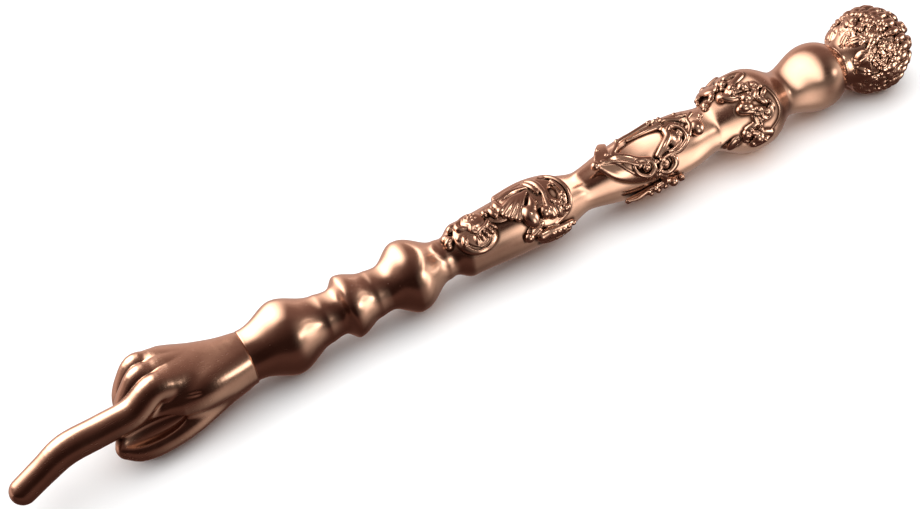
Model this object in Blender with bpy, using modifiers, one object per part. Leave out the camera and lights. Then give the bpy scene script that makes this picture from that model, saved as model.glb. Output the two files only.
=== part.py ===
"""A torah pointer (yad): a turned shaft with a cast pointing hand, three cast ornaments and a ball end.

Lengths are written in millimetres and scaled once, by MM. X runs along the shaft, from the fingertip to the
ball, and places along it are measured from the joint between hand and shaft. +Z is up. The pointer lies on
its fist and its ball. Angles about the shaft are degrees from straight up, growing towards +Y.
"""

from math import atan2, cos, degrees, pi, radians, sin, sqrt

import bmesh
import bpy
from mathutils import Matrix, Vector

MM = 0.001

# Shaft. Each station is (place, radius, lean). The lean shapes the span that ends there: 1 is an even
# S-curve, above 1 it changes late, below 1 early, and DOME is an arc of a circle that falls from a crest.
DOME = 0
SHAFT_PROFILE = (
    (0.0, 5.0, 1),
    (8.0, 7.35, 1.2),  # first knop
    (15.6, 4.85, 1),
    (18.1, 4.5, 0.72),
    (20.75, 6.3, 1.25),  # small knop
    (26.0, 4.7, 1),
    (28.3, 4.45, 0.72),
    (33.6, 7.2, 1),  # third knop
    (40.8, 4.1, 1.15),
    (42.3, 3.9, 1),
    (45.7, 5.48, 1),  # first body, under the fruit
    (58.3, 6.0, 1),
    (72.4, 4.05, 2.2),
    (86.8, 6.2, 0.75),  # second body, under the cartouche
    (102.4, 4.9, 2.6),
    (110.6, 8.35, 0.8),  # grape knop
    (111.7, 8.35, 1),
    (120.4, 4.9, 1.4),
    (129.0, 7.1, 0.95),  # end collar
    (134.5, 4.5, DOME),
)
TURNING_STEPS = 22
PROFILE_STEP = 3.0
FEWEST_ROWS = 3
JOINT_GAP = 0.3

# The surface that the pointer lies on is this far below the shaft's axis
REST_DEPTH = 8.75

# The ornaments face this way round the shaft, and their angles are counted from it
FACE = -45.0
CARTOUCHE_RADIUS = 7.0

# Vine swags round the grape knop: a wave of this middle place, swing, pitch and first crest. Each swag is
# (turn round the knop, first angle, last angle), and its angles are counted from its turn.
VINE_PLACE = 109.5
VINE_SWING = 2.4
VINE_PITCH = 34.5
VINE_CREST = 20.0
SWAGS = ((0.0, -56.0, 62.0), (146.0, -42.0, 42.0))
VINE_HEIGHT = -0.1

# Ball end
BALL_PLACE = 143.35
BALL_RADIUS = 8.35
NECK_START = SHAFT_PROFILE[-1][0] + JOINT_GAP
NECK_RADIUS = 4.4
NECK_FLARE = 2.6
REST_PAD = 2.8

# Hand, in its own frame: x runs back to the joint, y to the little finger, z to the back of the hand.
# Each finger is a row of (x, y, z, radius), from the back of the hand to its tip.
HAND_ROLL = -12.0
INDEX = (
    (-3.0, -1.0, 0.6, 3.6),
    (-9.0, -2.6, 2.4, 3.2),
    (-14.0, -3.9, 4.5, 2.8),
    (-17.6, -4.3, 5.2, 2.7),
    (-22.4, -4.3, 2.8, 2.85),
    (-28.5, -4.2, 2.3, 2.85),
    (-35.0, -4.2, 2.0, 2.85),
    (-39.8, -4.2, 0.2, 2.6),
    (-44.5, -4.2, -1.8, 2.5),
)
MIDDLE = (
    (-9.0, -0.3, 3.6, 2.2),
    (-18.4, -0.5, 6.2, 2.45),
    (-20.9, -0.5, 4.4, 2.35),
    (-23.1, -0.5, 1.5, 2.3),
    (-23.7, -0.5, -2.0, 2.2),
    (-22.2, -0.4, -6.5, 2.2),
    (-18.0, -0.3, -7.4, 2.1),
)
RING = (
    (-9.0, 2.0, 3.6, 2.2),
    (-18.1, 3.2, 6.4, 2.45),
    (-20.6, 3.3, 4.4, 2.35),
    (-22.5, 3.3, 1.4, 2.25),
    (-22.7, 3.3, -2.2, 2.15),
    (-21.0, 3.2, -5.6, 2.1),
    (-17.2, 3.0, -6.6, 2.0),
)
LITTLE = (
    (-8.0, 3.6, 2.4, 2.0),
    (-15.0, 6.4, 3.7, 2.1),
    (-18.4, 6.8, 2.4, 2.0),
    (-20.3, 6.7, 0.2, 1.95),
    (-20.2, 6.6, -2.4, 1.85),
    (-18.6, 6.5, -5.2, 1.85),
    (-15.2, 6.2, -5.9, 1.8),
)
THUMB = (
    (-4.1, -1.5, -1.8, 3.2),
    (-8.6, -3.0, -3.1, 2.9),
    (-13.6, -4.3, -4.1, 2.7),
    (-18.6, -4.7, -4.8, 2.5),
    (-23.2, -4.5, -4.7, 2.5),
    (-25.7, -4.1, -3.5, 2.2),
)
# The web of skin between index finger and thumb
WEB = (
    (-6.0, -2.6, -0.8, 3.0),
    (-11.5, -4.0, -0.6, 2.4),
    (-13.5, -4.2, -0.4, 1.8),
)
# Sections of the palm: x, centre y and z, half width, half thickness, squareness
PALM = (
    (1.5, 0.0, 0.0, 5.0, 5.0, 2.0),
    (-1.0, 0.0, 0.0, 5.0, 5.0, 2.0),
    (-3.6, 0.2, 0.1, 5.4, 5.1, 2.2),
    (-7.6, 0.8, 0.6, 6.0, 5.3, 2.5),
    (-12.6, 1.6, 1.1, 6.2, 5.8, 2.8),
    (-17.0, 1.8, 1.0, 5.8, 5.9, 2.8),
    (-20.5, 1.6, 0.0, 4.2, 4.4, 2.4),
)
SECTION_POINTS = 24

# How finely each cast piece is made: (voxel size, softening passes, triangles)
HAND_SKIN = (0.36, 3, 2100)
ORNAMENT_SKIN = (0.26, 1, 1050)
BALL_SKIN = (0.3, 1, 1350)

COPPER = (0.62, 0.33, 0.24, 1.0)


# Scene and materials --------------------------------------------------------------------------------------


def clear_scene():
    for old in list(bpy.data.objects):
        bpy.data.objects.remove(old, do_unlink=True)


def polished_metal():
    material = bpy.data.materials.new("polished_metal")
    material.use_nodes = True
    surface = material.node_tree.nodes["Principled BSDF"]
    surface.inputs["Base Color"].default_value = COPPER
    surface.inputs["Metallic"].default_value = 1.0
    surface.inputs["Roughness"].default_value = 0.2
    return material


# Meshes ---------------------------------------------------------------------------------------------------


def mesh_from(bm, name):
    mesh = bpy.data.meshes.new(name)
    bm.to_mesh(mesh)
    bm.free()
    return mesh


def loose_object(name, data):
    obj = bpy.data.objects.new(name, data)
    bpy.context.scene.collection.objects.link(obj)
    return obj


def baked(obj):
    """The mesh that the object's modifiers make of it; the object is removed."""
    bpy.context.view_layer.update()
    graph = bpy.context.evaluated_depsgraph_get()
    mesh = bpy.data.meshes.new_from_object(obj.evaluated_get(graph))
    bpy.data.objects.remove(obj, do_unlink=True)
    return mesh


def blob(frame, half_sizes, detail=2):
    bm = bmesh.new()
    shape = frame @ Matrix.Diagonal((*half_sizes, 1.0))
    bmesh.ops.create_icosphere(bm, subdivisions=detail, radius=MM, matrix=shape)
    return mesh_from(bm, "blob")


def tube(points, radii):
    """A tube through the points, as thick as the radii, with a ball on each end."""
    curve = bpy.data.curves.new("tube", "CURVE")
    curve.dimensions = "3D"
    curve.bevel_depth = MM
    curve.bevel_resolution = 3
    curve.resolution_u = 4
    curve.use_fill_caps = True
    spline = curve.splines.new("BEZIER")
    spline.bezier_points.add(len(points) - 1)
    for knot, point, radius in zip(spline.bezier_points, points, radii):
        knot.co = point
        knot.radius = radius
        knot.handle_left_type = "AUTO"
        knot.handle_right_type = "AUTO"
    bm = bmesh.new()
    bm.from_mesh(baked(loose_object("tube", curve)))
    bmesh.ops.remove_doubles(bm, verts=bm.verts, dist=1e-7)
    for point, radius in ((points[0], radii[0]), (points[-1], radii[-1])):
        bmesh.ops.create_icosphere(bm, subdivisions=2, radius=radius * MM, matrix=Matrix.Translation(point))
    return mesh_from(bm, "tube")


def fused(pieces, voxel, softening, triangles):
    """One closed skin round pieces that overlap, thinned to about this many triangles."""
    bm = bmesh.new()
    for piece in pieces:
        bm.from_mesh(piece)
    obj = loose_object("skin", mesh_from(bm, "skin"))
    remesh = obj.modifiers.new("skin", "REMESH")
    remesh.mode = "VOXEL"
    remesh.voxel_size = voxel * MM
    soften = obj.modifiers.new("soften", "SMOOTH")
    soften.iterations = softening
    fine = baked(obj)
    fine.calc_loop_triangles()
    obj = loose_object("thinned", fine)
    thin = obj.modifiers.new("thin", "DECIMATE")
    thin.ratio = min(1.0, triangles / len(fine.loop_triangles))
    thin.use_collapse_triangulate = True
    return baked(obj)


def finished(name, mesh, material, collection):
    """The mesh as a shaded object of this material, in the collection."""
    mesh.name = name
    mesh.materials.clear()
    mesh.materials.append(material)
    mesh.shade_smooth()
    mesh.set_sharp_from_angle(angle=radians(50))
    obj = bpy.data.objects.new(name, mesh)
    collection.objects.link(obj)
    return obj


# Cutters --------------------------------------------------------------------------------------------------


def as_cutter(obj):
    obj.hide_render = True
    obj.display_type = "WIRE"
    return obj


def box_cutter(name, low, high, cutters):
    low, high = Vector(low) * MM, Vector(high) * MM
    bm = bmesh.new()
    bmesh.ops.create_cube(bm, size=1.0)
    bmesh.ops.transform(bm, verts=bm.verts, matrix=Matrix.Diagonal((*(high - low), 1.0)))
    bmesh.ops.translate(bm, verts=bm.verts, vec=(low + high) / 2)
    obj = bpy.data.objects.new(name, mesh_from(bm, name))
    cutters.objects.link(obj)
    return as_cutter(obj)


def cut(obj, tool):
    boolean = obj.modifiers.new(tool.name, "BOOLEAN")
    boolean.operation = "DIFFERENCE"
    boolean.solver = "EXACT"
    boolean.object = tool


# Turned shaft ---------------------------------------------------------------------------------------------


def span_radius(start, end, place):
    """The shaft's radius at a place between two stations."""
    share = (place - start[0]) / (end[0] - start[0])
    lean = end[2]
    if lean == DOME:
        return sqrt(start[1] ** 2 - (place - start[0]) ** 2)
    return start[1] + (end[1] - start[1]) * (1 - cos(pi * share**lean)) / 2


def shaft_radius(place):
    place = min(max(place, SHAFT_PROFILE[0][0]), SHAFT_PROFILE[-1][0])
    for start, end in zip(SHAFT_PROFILE, SHAFT_PROFILE[1:]):
        if place <= end[0]:
            return span_radius(start, end, place)


def shaft_rows(gap=0.0):
    """(place, radius) points down the shaft, each this gap outside it."""
    points = [(SHAFT_PROFILE[0][0], SHAFT_PROFILE[0][1] + gap)]
    for start, end in zip(SHAFT_PROFILE, SHAFT_PROFILE[1:]):
        length = end[0] - start[0]
        rows = max(FEWEST_ROWS, round(length / PROFILE_STEP)) if length > PROFILE_STEP else 1
        for row in range(1, rows + 1):
            place = start[0] + length * row / rows
            points.append((place, span_radius(start, end, place) + gap))
    return points


def turned(name, profile, collection):
    """A solid of revolution from (place, radius) points. Its profile stands on Z, then lies down."""
    closed = [(profile[0][0], 0.0), *profile, (profile[-1][0], 0.0)]
    bm = bmesh.new()
    rows = [bm.verts.new((radius * MM, 0.0, place * MM)) for place, radius in reversed(closed)]
    for upper, lower in zip(rows, rows[1:]):
        bm.edges.new((upper, lower))
    obj = bpy.data.objects.new(name, mesh_from(bm, name))
    obj.rotation_euler = (0.0, radians(90), 0.0)
    collection.objects.link(obj)
    screw = obj.modifiers.new("turn", "SCREW")
    screw.axis = "Z"
    screw.steps = TURNING_STEPS
    screw.render_steps = TURNING_STEPS
    screw.use_merge_vertices = True
    screw.merge_threshold = 0.00002
    return obj


# Places on the shaft --------------------------------------------------------------------------------------


def laid_frame(place, angle, radius, spin=0.0):
    """A frame laid on the shaft: x along it, y round it, z outwards, spun about z."""
    around = Matrix.Rotation(radians(-FACE - angle), 4, "X")
    out = Matrix.Translation((place * MM, 0, radius * MM))
    return around @ out @ Matrix.Rotation(radians(spin), 4, "Z")


def laid(place, angle, radius):
    return laid_frame(place, angle, radius).translation


def pad(place, angle, height, half_sizes, spin=0.0):
    """A lump on the shaft's surface, its half sizes along the shaft, round it and outwards."""
    return blob(laid_frame(place, angle, shaft_radius(place) + height, spin), half_sizes)


def bead(place, angle, height, size):
    return blob(laid_frame(place, angle, shaft_radius(place) + height), (size, size, size), 1)


def stalk(knots):
    """A tube through (place, angle, height above the shaft, thickness) knots."""
    points = [laid(place, angle, shaft_radius(place) + height) for place, angle, height, _ in knots]
    return tube(points, [knot[3] for knot in knots])


def bar(knots):
    """A tube through (place, angle, thickness) knots that all stand at the cartouche's radius."""
    points = [laid(place, angle, CARTOUCHE_RADIUS) for place, angle, _ in knots]
    return tube(points, [knot[2] for knot in knots])


def angle_across(length, radius):
    """The angle that this length spans round a shaft of this radius."""
    return degrees(length / radius)


# Hand -----------------------------------------------------------------------------------------------------


def signed_power(value, power):
    return abs(value) ** power * (1 if value >= 0 else -1)


def palm_section(bm, x, y, z, half_width, half_thickness, squareness):
    """A ring of points round one section, between an ellipse and a rounded box."""
    ring = []
    for index in range(SECTION_POINTS):
        turn = 2 * pi * index / SECTION_POINTS
        across = half_width * signed_power(cos(turn), 2 / squareness)
        up = half_thickness * signed_power(sin(turn), 2 / squareness)
        ring.append(bm.verts.new(Vector((x, y + across, z + up)) * MM))
    return ring


def palm():
    """The palm and wrist, lofted from the joint to the knuckles."""
    bm = bmesh.new()
    rings = [palm_section(bm, *section) for section in PALM]
    for first, second in zip(rings, rings[1:]):
        for index in range(SECTION_POINTS):
            after = (index + 1) % SECTION_POINTS
            bm.faces.new((first[index], first[after], second[after], second[index]))
    bm.faces.new(rings[0])
    bm.faces.new(rings[-1])
    bmesh.ops.recalc_face_normals(bm, faces=bm.faces)
    return mesh_from(bm, "palm")


def hand(material, collection, tools):
    pieces = [palm()]
    for finger in (INDEX, MIDDLE, RING, LITTLE, THUMB, WEB):
        pieces.append(tube([Vector(knot[:3]) * MM for knot in finger], [knot[3] for knot in finger]))
    mesh = fused(pieces, *HAND_SKIN)
    mesh.transform(Matrix.Rotation(radians(HAND_ROLL), 4, "X"))
    obj = finished("hand", mesh, material, collection)
    for tool in tools:
        cut(obj, tool)
    return obj


# Ornaments ------------------------------------------------------------------------------------------------


def flower(place, angle, half_length, half_width):
    """An open flower seen from its side: a mound, a ring of petals and a raised eye."""
    radius = shaft_radius(place)
    pieces = [pad(place, angle, -0.2, (half_length * 0.95, half_width * 0.95, 1.3))]
    petals = 8
    for index in range(petals):
        turn = 2 * pi * index / petals
        along = place + half_length * 0.6 * cos(turn)
        across = angle + angle_across(half_width * 0.6 * sin(turn), radius)
        pieces.append(pad(along, across, 0.4, (1.8, 1.5, 0.9), degrees(turn)))
    pieces.append(pad(place + 1.0, angle + 14, 1.0, (1.8, 1.6, 0.8)))
    return pieces


def trumpet_flower():
    """Ribs that fan out from a foot to a wide mouth."""
    ribs = 5
    pieces = []
    for index in range(ribs):
        share = index / (ribs - 1)
        mouth = (53.9 + 1.9 * share**2, 42 - 39 * share, 0.5, 0.95)
        pieces.append(stalk(((61.2, 47, 0.6, 0.7), mouth)))
    return pieces


def fruit_garland():
    leaves = (
        (54.0, 38, 4.4, 3.2),
        (60.0, 62, 4.6, 3.6),
        (62.0, 25, 4.2, 3.6),
        (62.5, -12, 4.0, 3.4),
        (60.5, -42, 4.2, 2.2),
        (61.0, 92, 3.6, 2.4),
    )
    fruit = (
        (56.9, -39, 0.8),
        (61.8, -7, 1.2),
        (63.2, -20, 1.1),
        (65.0, -10, 1.15),
        (65.9, -22, 0.9),
        (66.5, -2, 1.0),
        (66.6, 13, 0.9),
        (65.2, 30, 0.9),
        (65.6, 50, 0.9),
        (63.6, 62, 0.8),
    )
    pieces = flower(46.6, 20, 5.2, 4.3) + trumpet_flower()
    pieces += [pad(place, angle, 0.1, (length, width, 0.8)) for place, angle, length, width in leaves]
    pieces += [bead(place, angle, 0.6, size) for place, angle, size in fruit]
    # two buds, a pear, a twisted stem, a small leaf and a corn cob that wraps under
    pieces += [pad(51.6, 32, 0.6, (1.2, 0.8, 0.8), 60), pad(52.5, 27, 0.6, (1.2, 0.8, 0.8), 60)]
    pieces.append(stalk(((60.2, 17, 0.8, 0.8), (59.3, -1, 0.8, 1.1), (58.3, -15, 0.6, 1.35))))
    twist = ((61.5, 75, 0.7, 0.6), (62.3, 45, 1.0, 0.6), (63.0, 18, 1.1, 0.6), (63.7, -14, 1.0, 0.6))
    pieces.append(stalk(twist))
    pieces.append(pad(58.8, -30, 0.5, (1.7, 1.2, 0.6)))
    pieces.append(stalk(((57.2, -42, 0.5, 0.8), (60.8, -47, 0.7, 1.0), (65.2, -52, 0.6, 0.8))))
    return pieces


def cartouche():
    bars = (
        # the blade, from the free tip down to the volutes
        ((75.0, 25, 0.8), (78.6, 11, 1.2), (82.2, -5, 1.4), (85.4, -18, 1.5)),
        ((76.6, 18, 0.9), (79.2, 0, 1.2), (82.2, -18, 1.4), (86.2, -30, 1.4)),
        # the fin, and the thin bar over the opening
        ((75.4, 28, 0.7), (78.0, 48, 0.8), (79.6, 66, 0.7)),
        ((77.2, 36, 0.7), (81.6, 47, 0.7), (86.0, 54, 0.65), (90.2, 60, 0.8)),
        # the leaf that comes back down to the volutes, and the volutes
        ((90.2, 60, 0.8), (92.8, 38, 1.2), (92.2, 15, 1.6), (90.2, -8, 1.5), (88.6, -22, 1.5)),
        ((88.6, -22, 1.5), (87.4, -42, 1.2)),
        ((85.4, -17, 1.4), (88.6, -22, 1.4)),
        # the shell at the far end
        ((92.6, 30, 1.2), (95.6, 22, 1.5), (98.2, 12, 1.2)),
        ((92.0, 45, 0.9), (95.0, 42, 1.1), (97.0, 34, 0.9)),
        ((93.0, 6, 1.2), (96.0, 2, 1.1), (98.4, 0, 0.8)),
        # the leaf row under the shaft
        ((87.4, -42, 1.0), (84.6, -60, 1.1), (79.6, -66, 0.8)),
        ((87.4, -42, 1.0), (88.6, -62, 1.1), (91.6, -72, 0.8)),
    )
    knobs = (
        (74.9, 25.5, 1.05),
        (84.0, -13, 1.6),
        (87.9, -22, 1.5),
        (98.9, 7, 1.1),
        (99.2, 24, 0.8),
        (96.6, 33, 0.8),
        (90.2, 60, 1.0),
        (82.0, -63, 0.9),
        (90.4, -66, 0.9),
    )
    pieces = [bar(knots) for knots in bars]
    for place, angle, size in knobs:
        pieces.append(blob(laid_frame(place, angle, CARTOUCHE_RADIUS), (size, size, size)))
    return pieces


def vine_place(angle):
    return VINE_PLACE + VINE_SWING * cos(2 * pi * (angle - VINE_CREST) / VINE_PITCH)


def tail(start, end, thickness):
    """A straight stem laid on the knop between two (place, angle) points."""
    steps = 5
    knots = []
    for index in range(steps + 1):
        share = index / steps
        place = start[0] + (end[0] - start[0]) * share
        knots.append((place, start[1] + (end[1] - start[1]) * share, 0.1, thickness))
    return stalk(knots)


def swag(turn, first, last):
    """One hanging band of vine and grapes, turned this far round the knop, with a tail near each end."""
    count = round((last - first) / (VINE_PITCH / 6))
    angles = [first + (last - first) * index / count for index in range(count + 1)]
    pieces = [stalk([(vine_place(angle), turn + angle, VINE_HEIGHT, 1.0) for angle in angles])]
    for index, angle in enumerate(angles):
        size = (1.0, 0.85, 1.15)[index % 3]
        side = (0.7, -0.7)[index % 2]
        pieces.append(bead(vine_place(angle) + side, turn + angle, 0.1, size))
    pieces.append(tail((100.6, turn + 30), (107.0, turn + last - 4), 0.8))
    pieces.append(tail((101.6, turn - 42), (107.4, turn - 34), 0.95))
    return pieces


def grape_garland():
    """The swags, and the leaves that join one to the next."""
    pieces = [pad(106.6, 76, -0.3, (2.6, 2.4, 0.9)), pad(106.0, 90, -0.3, (2.6, 2.4, 0.9))]
    pieces.append(pad(106.6, 103, -0.3, (2.6, 2.4, 0.9)))
    for turn, first, last in SWAGS:
        pieces += swag(turn, first, last)
    return pieces


def ornament(name, pieces, material, collection, shaft_cutter):
    obj = finished(name, fused(pieces, *ORNAMENT_SKIN), material, collection)
    cut(obj, shaft_cutter)
    return obj


# Ball end -------------------------------------------------------------------------------------------------


def ball_profile():
    """(place, radius) of the plain ball with its flared neck."""
    join = NECK_START + NECK_FLARE
    join_radius = sqrt(BALL_RADIUS**2 - (BALL_PLACE - join) ** 2)
    points = []
    neck_rows = 4
    for row in range(neck_rows):
        share = row / neck_rows
        radius = NECK_RADIUS + (join_radius - NECK_RADIUS) * share**1.6
        points.append((NECK_START + NECK_FLARE * share, radius))
    start = atan2(join_radius, BALL_PLACE - join)
    ball_rows = 14
    for row in range(ball_rows):
        turn = start + (pi - start) * row / ball_rows
        points.append((BALL_PLACE - BALL_RADIUS * cos(turn), BALL_RADIUS * sin(turn)))
    return points


def ball_lump(from_end, angle, half_sizes, depth):
    """A lump sunk this deep in the ball, at an angle from its far end and an angle round the shaft."""
    tilt, turn = radians(from_end), radians(angle)
    away = Vector((cos(tilt), sin(tilt) * sin(turn), sin(tilt) * cos(turn)))
    centre = Vector((BALL_PLACE, 0, 0)) + away * (BALL_RADIUS - depth)
    outwards = away.to_track_quat("Z", "Y").to_matrix().to_4x4()
    return blob(Matrix.Translation(centre * MM) @ outwards, half_sizes, 1)


def ball_relief():
    """Rings of leaves and grapes, and the plain pad that the ball rests on."""
    rings = ((32, 6, 2.0), (60, 10, 2.0), (86, 12, 1.9), (112, 10, 1.9))
    pieces = [ball_lump(0, 0, (2.2, 2.2, 1.0), 0.5)]
    for from_end, number, size in rings:
        for index in range(number):
            angle = 360 * (index + 0.5 * (number % 2)) / number
            pieces.append(ball_lump(from_end, angle, (size, size, 1.1), 0.3))
            if from_end == rings[-1][0]:
                pieces.append(ball_lump(from_end + 20, angle, (0.9, size, 0.7), 0.1))
    pieces.append(ball_lump(90, 180, (REST_PAD, REST_PAD, 1.1), 0.1))
    return pieces


def finial(material, collection, rest_cutter):
    core = baked(turned("core", ball_profile(), collection))
    core.transform(Matrix.Rotation(radians(90), 4, "Y"))
    obj = finished("finial", fused([core, *ball_relief()], *BALL_SKIN), material, collection)
    cut(obj, rest_cutter)
    return obj


# Assembly -------------------------------------------------------------------------------------------------


def bounds(objects):
    """The low and high corner of the box round the finished objects."""
    bpy.context.view_layer.update()
    graph = bpy.context.evaluated_depsgraph_get()
    corners = []
    for obj in objects:
        ready = obj.evaluated_get(graph)
        corners += [ready.matrix_world @ vertex.co for vertex in ready.data.vertices]
    low = Vector([min(corner[axis] for corner in corners) for axis in range(3)])
    high = Vector([max(corner[axis] for corner in corners) for axis in range(3)])
    return low, high


def set_on_origin(pieces, tools, collection):
    """Hangs everything from one empty on the shaft's axis, placed so that the origin is under the middle."""
    low, high = bounds(pieces)
    axis = bpy.data.objects.new("shaft_axis", None)
    collection.objects.link(axis)
    axis.location = (-(low.x + high.x) / 2, -(low.y + high.y) / 2, REST_DEPTH * MM)
    for obj in (*pieces, *tools):
        obj.parent = axis


def main():
    clear_scene()
    collection = bpy.data.collections.new("torah_pointer")
    cutters = bpy.data.collections.new("cutters")
    bpy.context.scene.collection.children.link(collection)
    bpy.context.scene.collection.children.link(cutters)
    metal = polished_metal()

    joint_cutter = box_cutter("joint_cutter", (-JOINT_GAP, -20, -20), (20, 20, 20), cutters)
    rest_cutter = box_cutter("rest_cutter", (-80, -30, -30), (180, 30, -REST_DEPTH), cutters)
    shaft_cutter = as_cutter(turned("shaft_cutter", shaft_rows(JOINT_GAP), cutters))

    stem = turned("stem", shaft_rows(), collection)
    stem.data.materials.append(metal)
    pieces = [
        hand(metal, collection, (joint_cutter, rest_cutter)),
        stem,
        ornament("fruit_garland", fruit_garland(), metal, collection, shaft_cutter),
        ornament("cartouche", cartouche(), metal, collection, shaft_cutter),
        ornament("grape_garland", grape_garland(), metal, collection, shaft_cutter),
        finial(metal, collection, rest_cutter),
    ]
    set_on_origin(pieces, (joint_cutter, rest_cutter, shaft_cutter), collection)


main()
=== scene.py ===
"""The looks of a torah pointer (yad) in copper-toned polished metal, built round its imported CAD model.

Lengths are in millimetres until a piece is placed. Places along the shaft are measured from the joint
between hand and shaft, and angles about it are degrees from the side that the ornaments face. Every cast
piece is modelled as a field of distances on a fine grid, to which shapes are added or from which they are
carved, and the field's zero surface becomes its mesh.
"""

from math import cos, degrees, hypot, pi, radians, sin, sqrt, tan

import bpy
import numpy as np
from mathutils import Matrix, Vector


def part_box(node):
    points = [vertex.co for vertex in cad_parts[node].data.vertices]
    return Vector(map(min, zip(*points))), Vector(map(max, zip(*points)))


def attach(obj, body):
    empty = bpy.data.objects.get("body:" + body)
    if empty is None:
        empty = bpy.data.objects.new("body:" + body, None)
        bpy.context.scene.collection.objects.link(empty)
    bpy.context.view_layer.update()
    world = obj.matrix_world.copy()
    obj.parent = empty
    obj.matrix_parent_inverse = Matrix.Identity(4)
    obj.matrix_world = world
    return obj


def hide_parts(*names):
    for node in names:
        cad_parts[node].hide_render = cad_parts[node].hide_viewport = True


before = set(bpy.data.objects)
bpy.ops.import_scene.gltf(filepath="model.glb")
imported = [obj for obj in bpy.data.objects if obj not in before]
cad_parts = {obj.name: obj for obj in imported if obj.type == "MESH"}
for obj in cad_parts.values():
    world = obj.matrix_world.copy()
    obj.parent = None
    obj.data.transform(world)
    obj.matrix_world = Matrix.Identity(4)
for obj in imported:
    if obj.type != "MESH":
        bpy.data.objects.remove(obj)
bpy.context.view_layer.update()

MM = 0.001

# Where the shaft's axis and its joint with the hand are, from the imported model
STEM_LOW, STEM_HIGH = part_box("stem")
AXIS_Y = (STEM_LOW.y + STEM_HIGH.y) / 2
AXIS_Z = (STEM_LOW.z + STEM_HIGH.z) / 2
JOINT_X = STEM_LOW.x
REST_DEPTH = AXIS_Z / MM

# Shaft stations: (place, radius, lean) as in the CAD model. A lean above 1 puts the change of radius nearer
# to the station, one below 1 nearer to the station before it.
DOME = 0
SHAFT_PROFILE = (
    (0, 5, 1), (8, 7.35, 1.2), (15.6, 4.85, 1), (18.1, 4.5, 0.72), (20.75, 6.3, 1.25), (26, 4.7, 1),
    (28.3, 4.45, 0.72), (33.6, 7.2, 1), (40.8, 4.1, 1.15), (42.3, 3.9, 1), (45.7, 5.48, 1),
    (58.3, 6, 1), (72.4, 4.05, 2.2), (86.8, 6.2, 0.75), (102.4, 4.9, 2.6), (110.6, 8.35, 0.8),
    (111.7, 8.35, 1), (120.4, 4.9, 1.4), (129, 7.1, 0.95),
    (134.5, 4.5, DOME),
)
SHAFT_END = SHAFT_PROFILE[-1][0]
# The side that the ornaments face, in degrees about the shaft from straight up
FACE = -45.0
# How far the hand's end stops short of the shaft
SEAM = 0.01


# The shaft's radius ---------------------------------------


def span_radius(start, end, place):
    share = (place - start[0]) / (end[0] - start[0])
    if end[2] == DOME:
        return sqrt(max(0.0, start[1] ** 2 - (place - start[0]) ** 2))
    return start[1] + (end[1] - start[1]) * (1 - cos(pi * share ** end[2])) / 2


def profile_table(step=0.1):
    places, radii = [], []
    for start, end in zip(SHAFT_PROFILE, SHAFT_PROFILE[1:]):
        count = max(2, round((end[0] - start[0]) / step))
        for index in range(count):
            place = start[0] + (end[0] - start[0]) * index / count
            places.append(place)
            radii.append(span_radius(start, end, place))
    places.append(SHAFT_END)
    radii.append(SHAFT_PROFILE[-1][1])
    return np.array(places), np.array(radii)


PROFILE_PLACES, PROFILE_RADII = profile_table()


def shaft_radius(place):
    return np.interp(place, PROFILE_PLACES, PROFILE_RADII)


# Fields of distances --------------------------------------

# The distance that a grid holds where no shape has reached it
FAR = 9.0
# How far beyond a shape the grid is still worked on: some blends and a little more
BLENDS_BEYOND = 3
MORE_BEYOND = 0.3


def smooth_least(first, second, blend):
    mix = np.clip(0.5 + 0.5 * (second - first) / blend, 0, 1)
    return second + (first - second) * mix - blend * mix * (1 - mix)


def twisted(first, second, spin):
    """Two directions at right angles to each other, turned this many degrees in their plane."""
    twist = radians(spin)
    return first * cos(twist) + second * sin(twist), second * cos(twist) - first * sin(twist)


def smooth_curve(knots, steps=6):
    """Points on a Catmull-Rom curve through the knots, whatever number of columns they have."""
    knots = np.array(knots, float)
    ends = np.vstack([2 * knots[0] - knots[1], knots, 2 * knots[-1] - knots[-2]])
    rows = []
    for index in range(len(knots) - 1):
        before, start, end, after = ends[index : index + 4]
        for step in range(steps):
            share = step / steps
            square = (2 * before - 5 * start + 4 * end - after) * share**2
            cube = (3 * start - before - 3 * end + after) * share**3
            rows.append(0.5 * (2 * start + (end - before) * share + square + cube))
    return np.array([*rows, knots[-1]])


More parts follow.
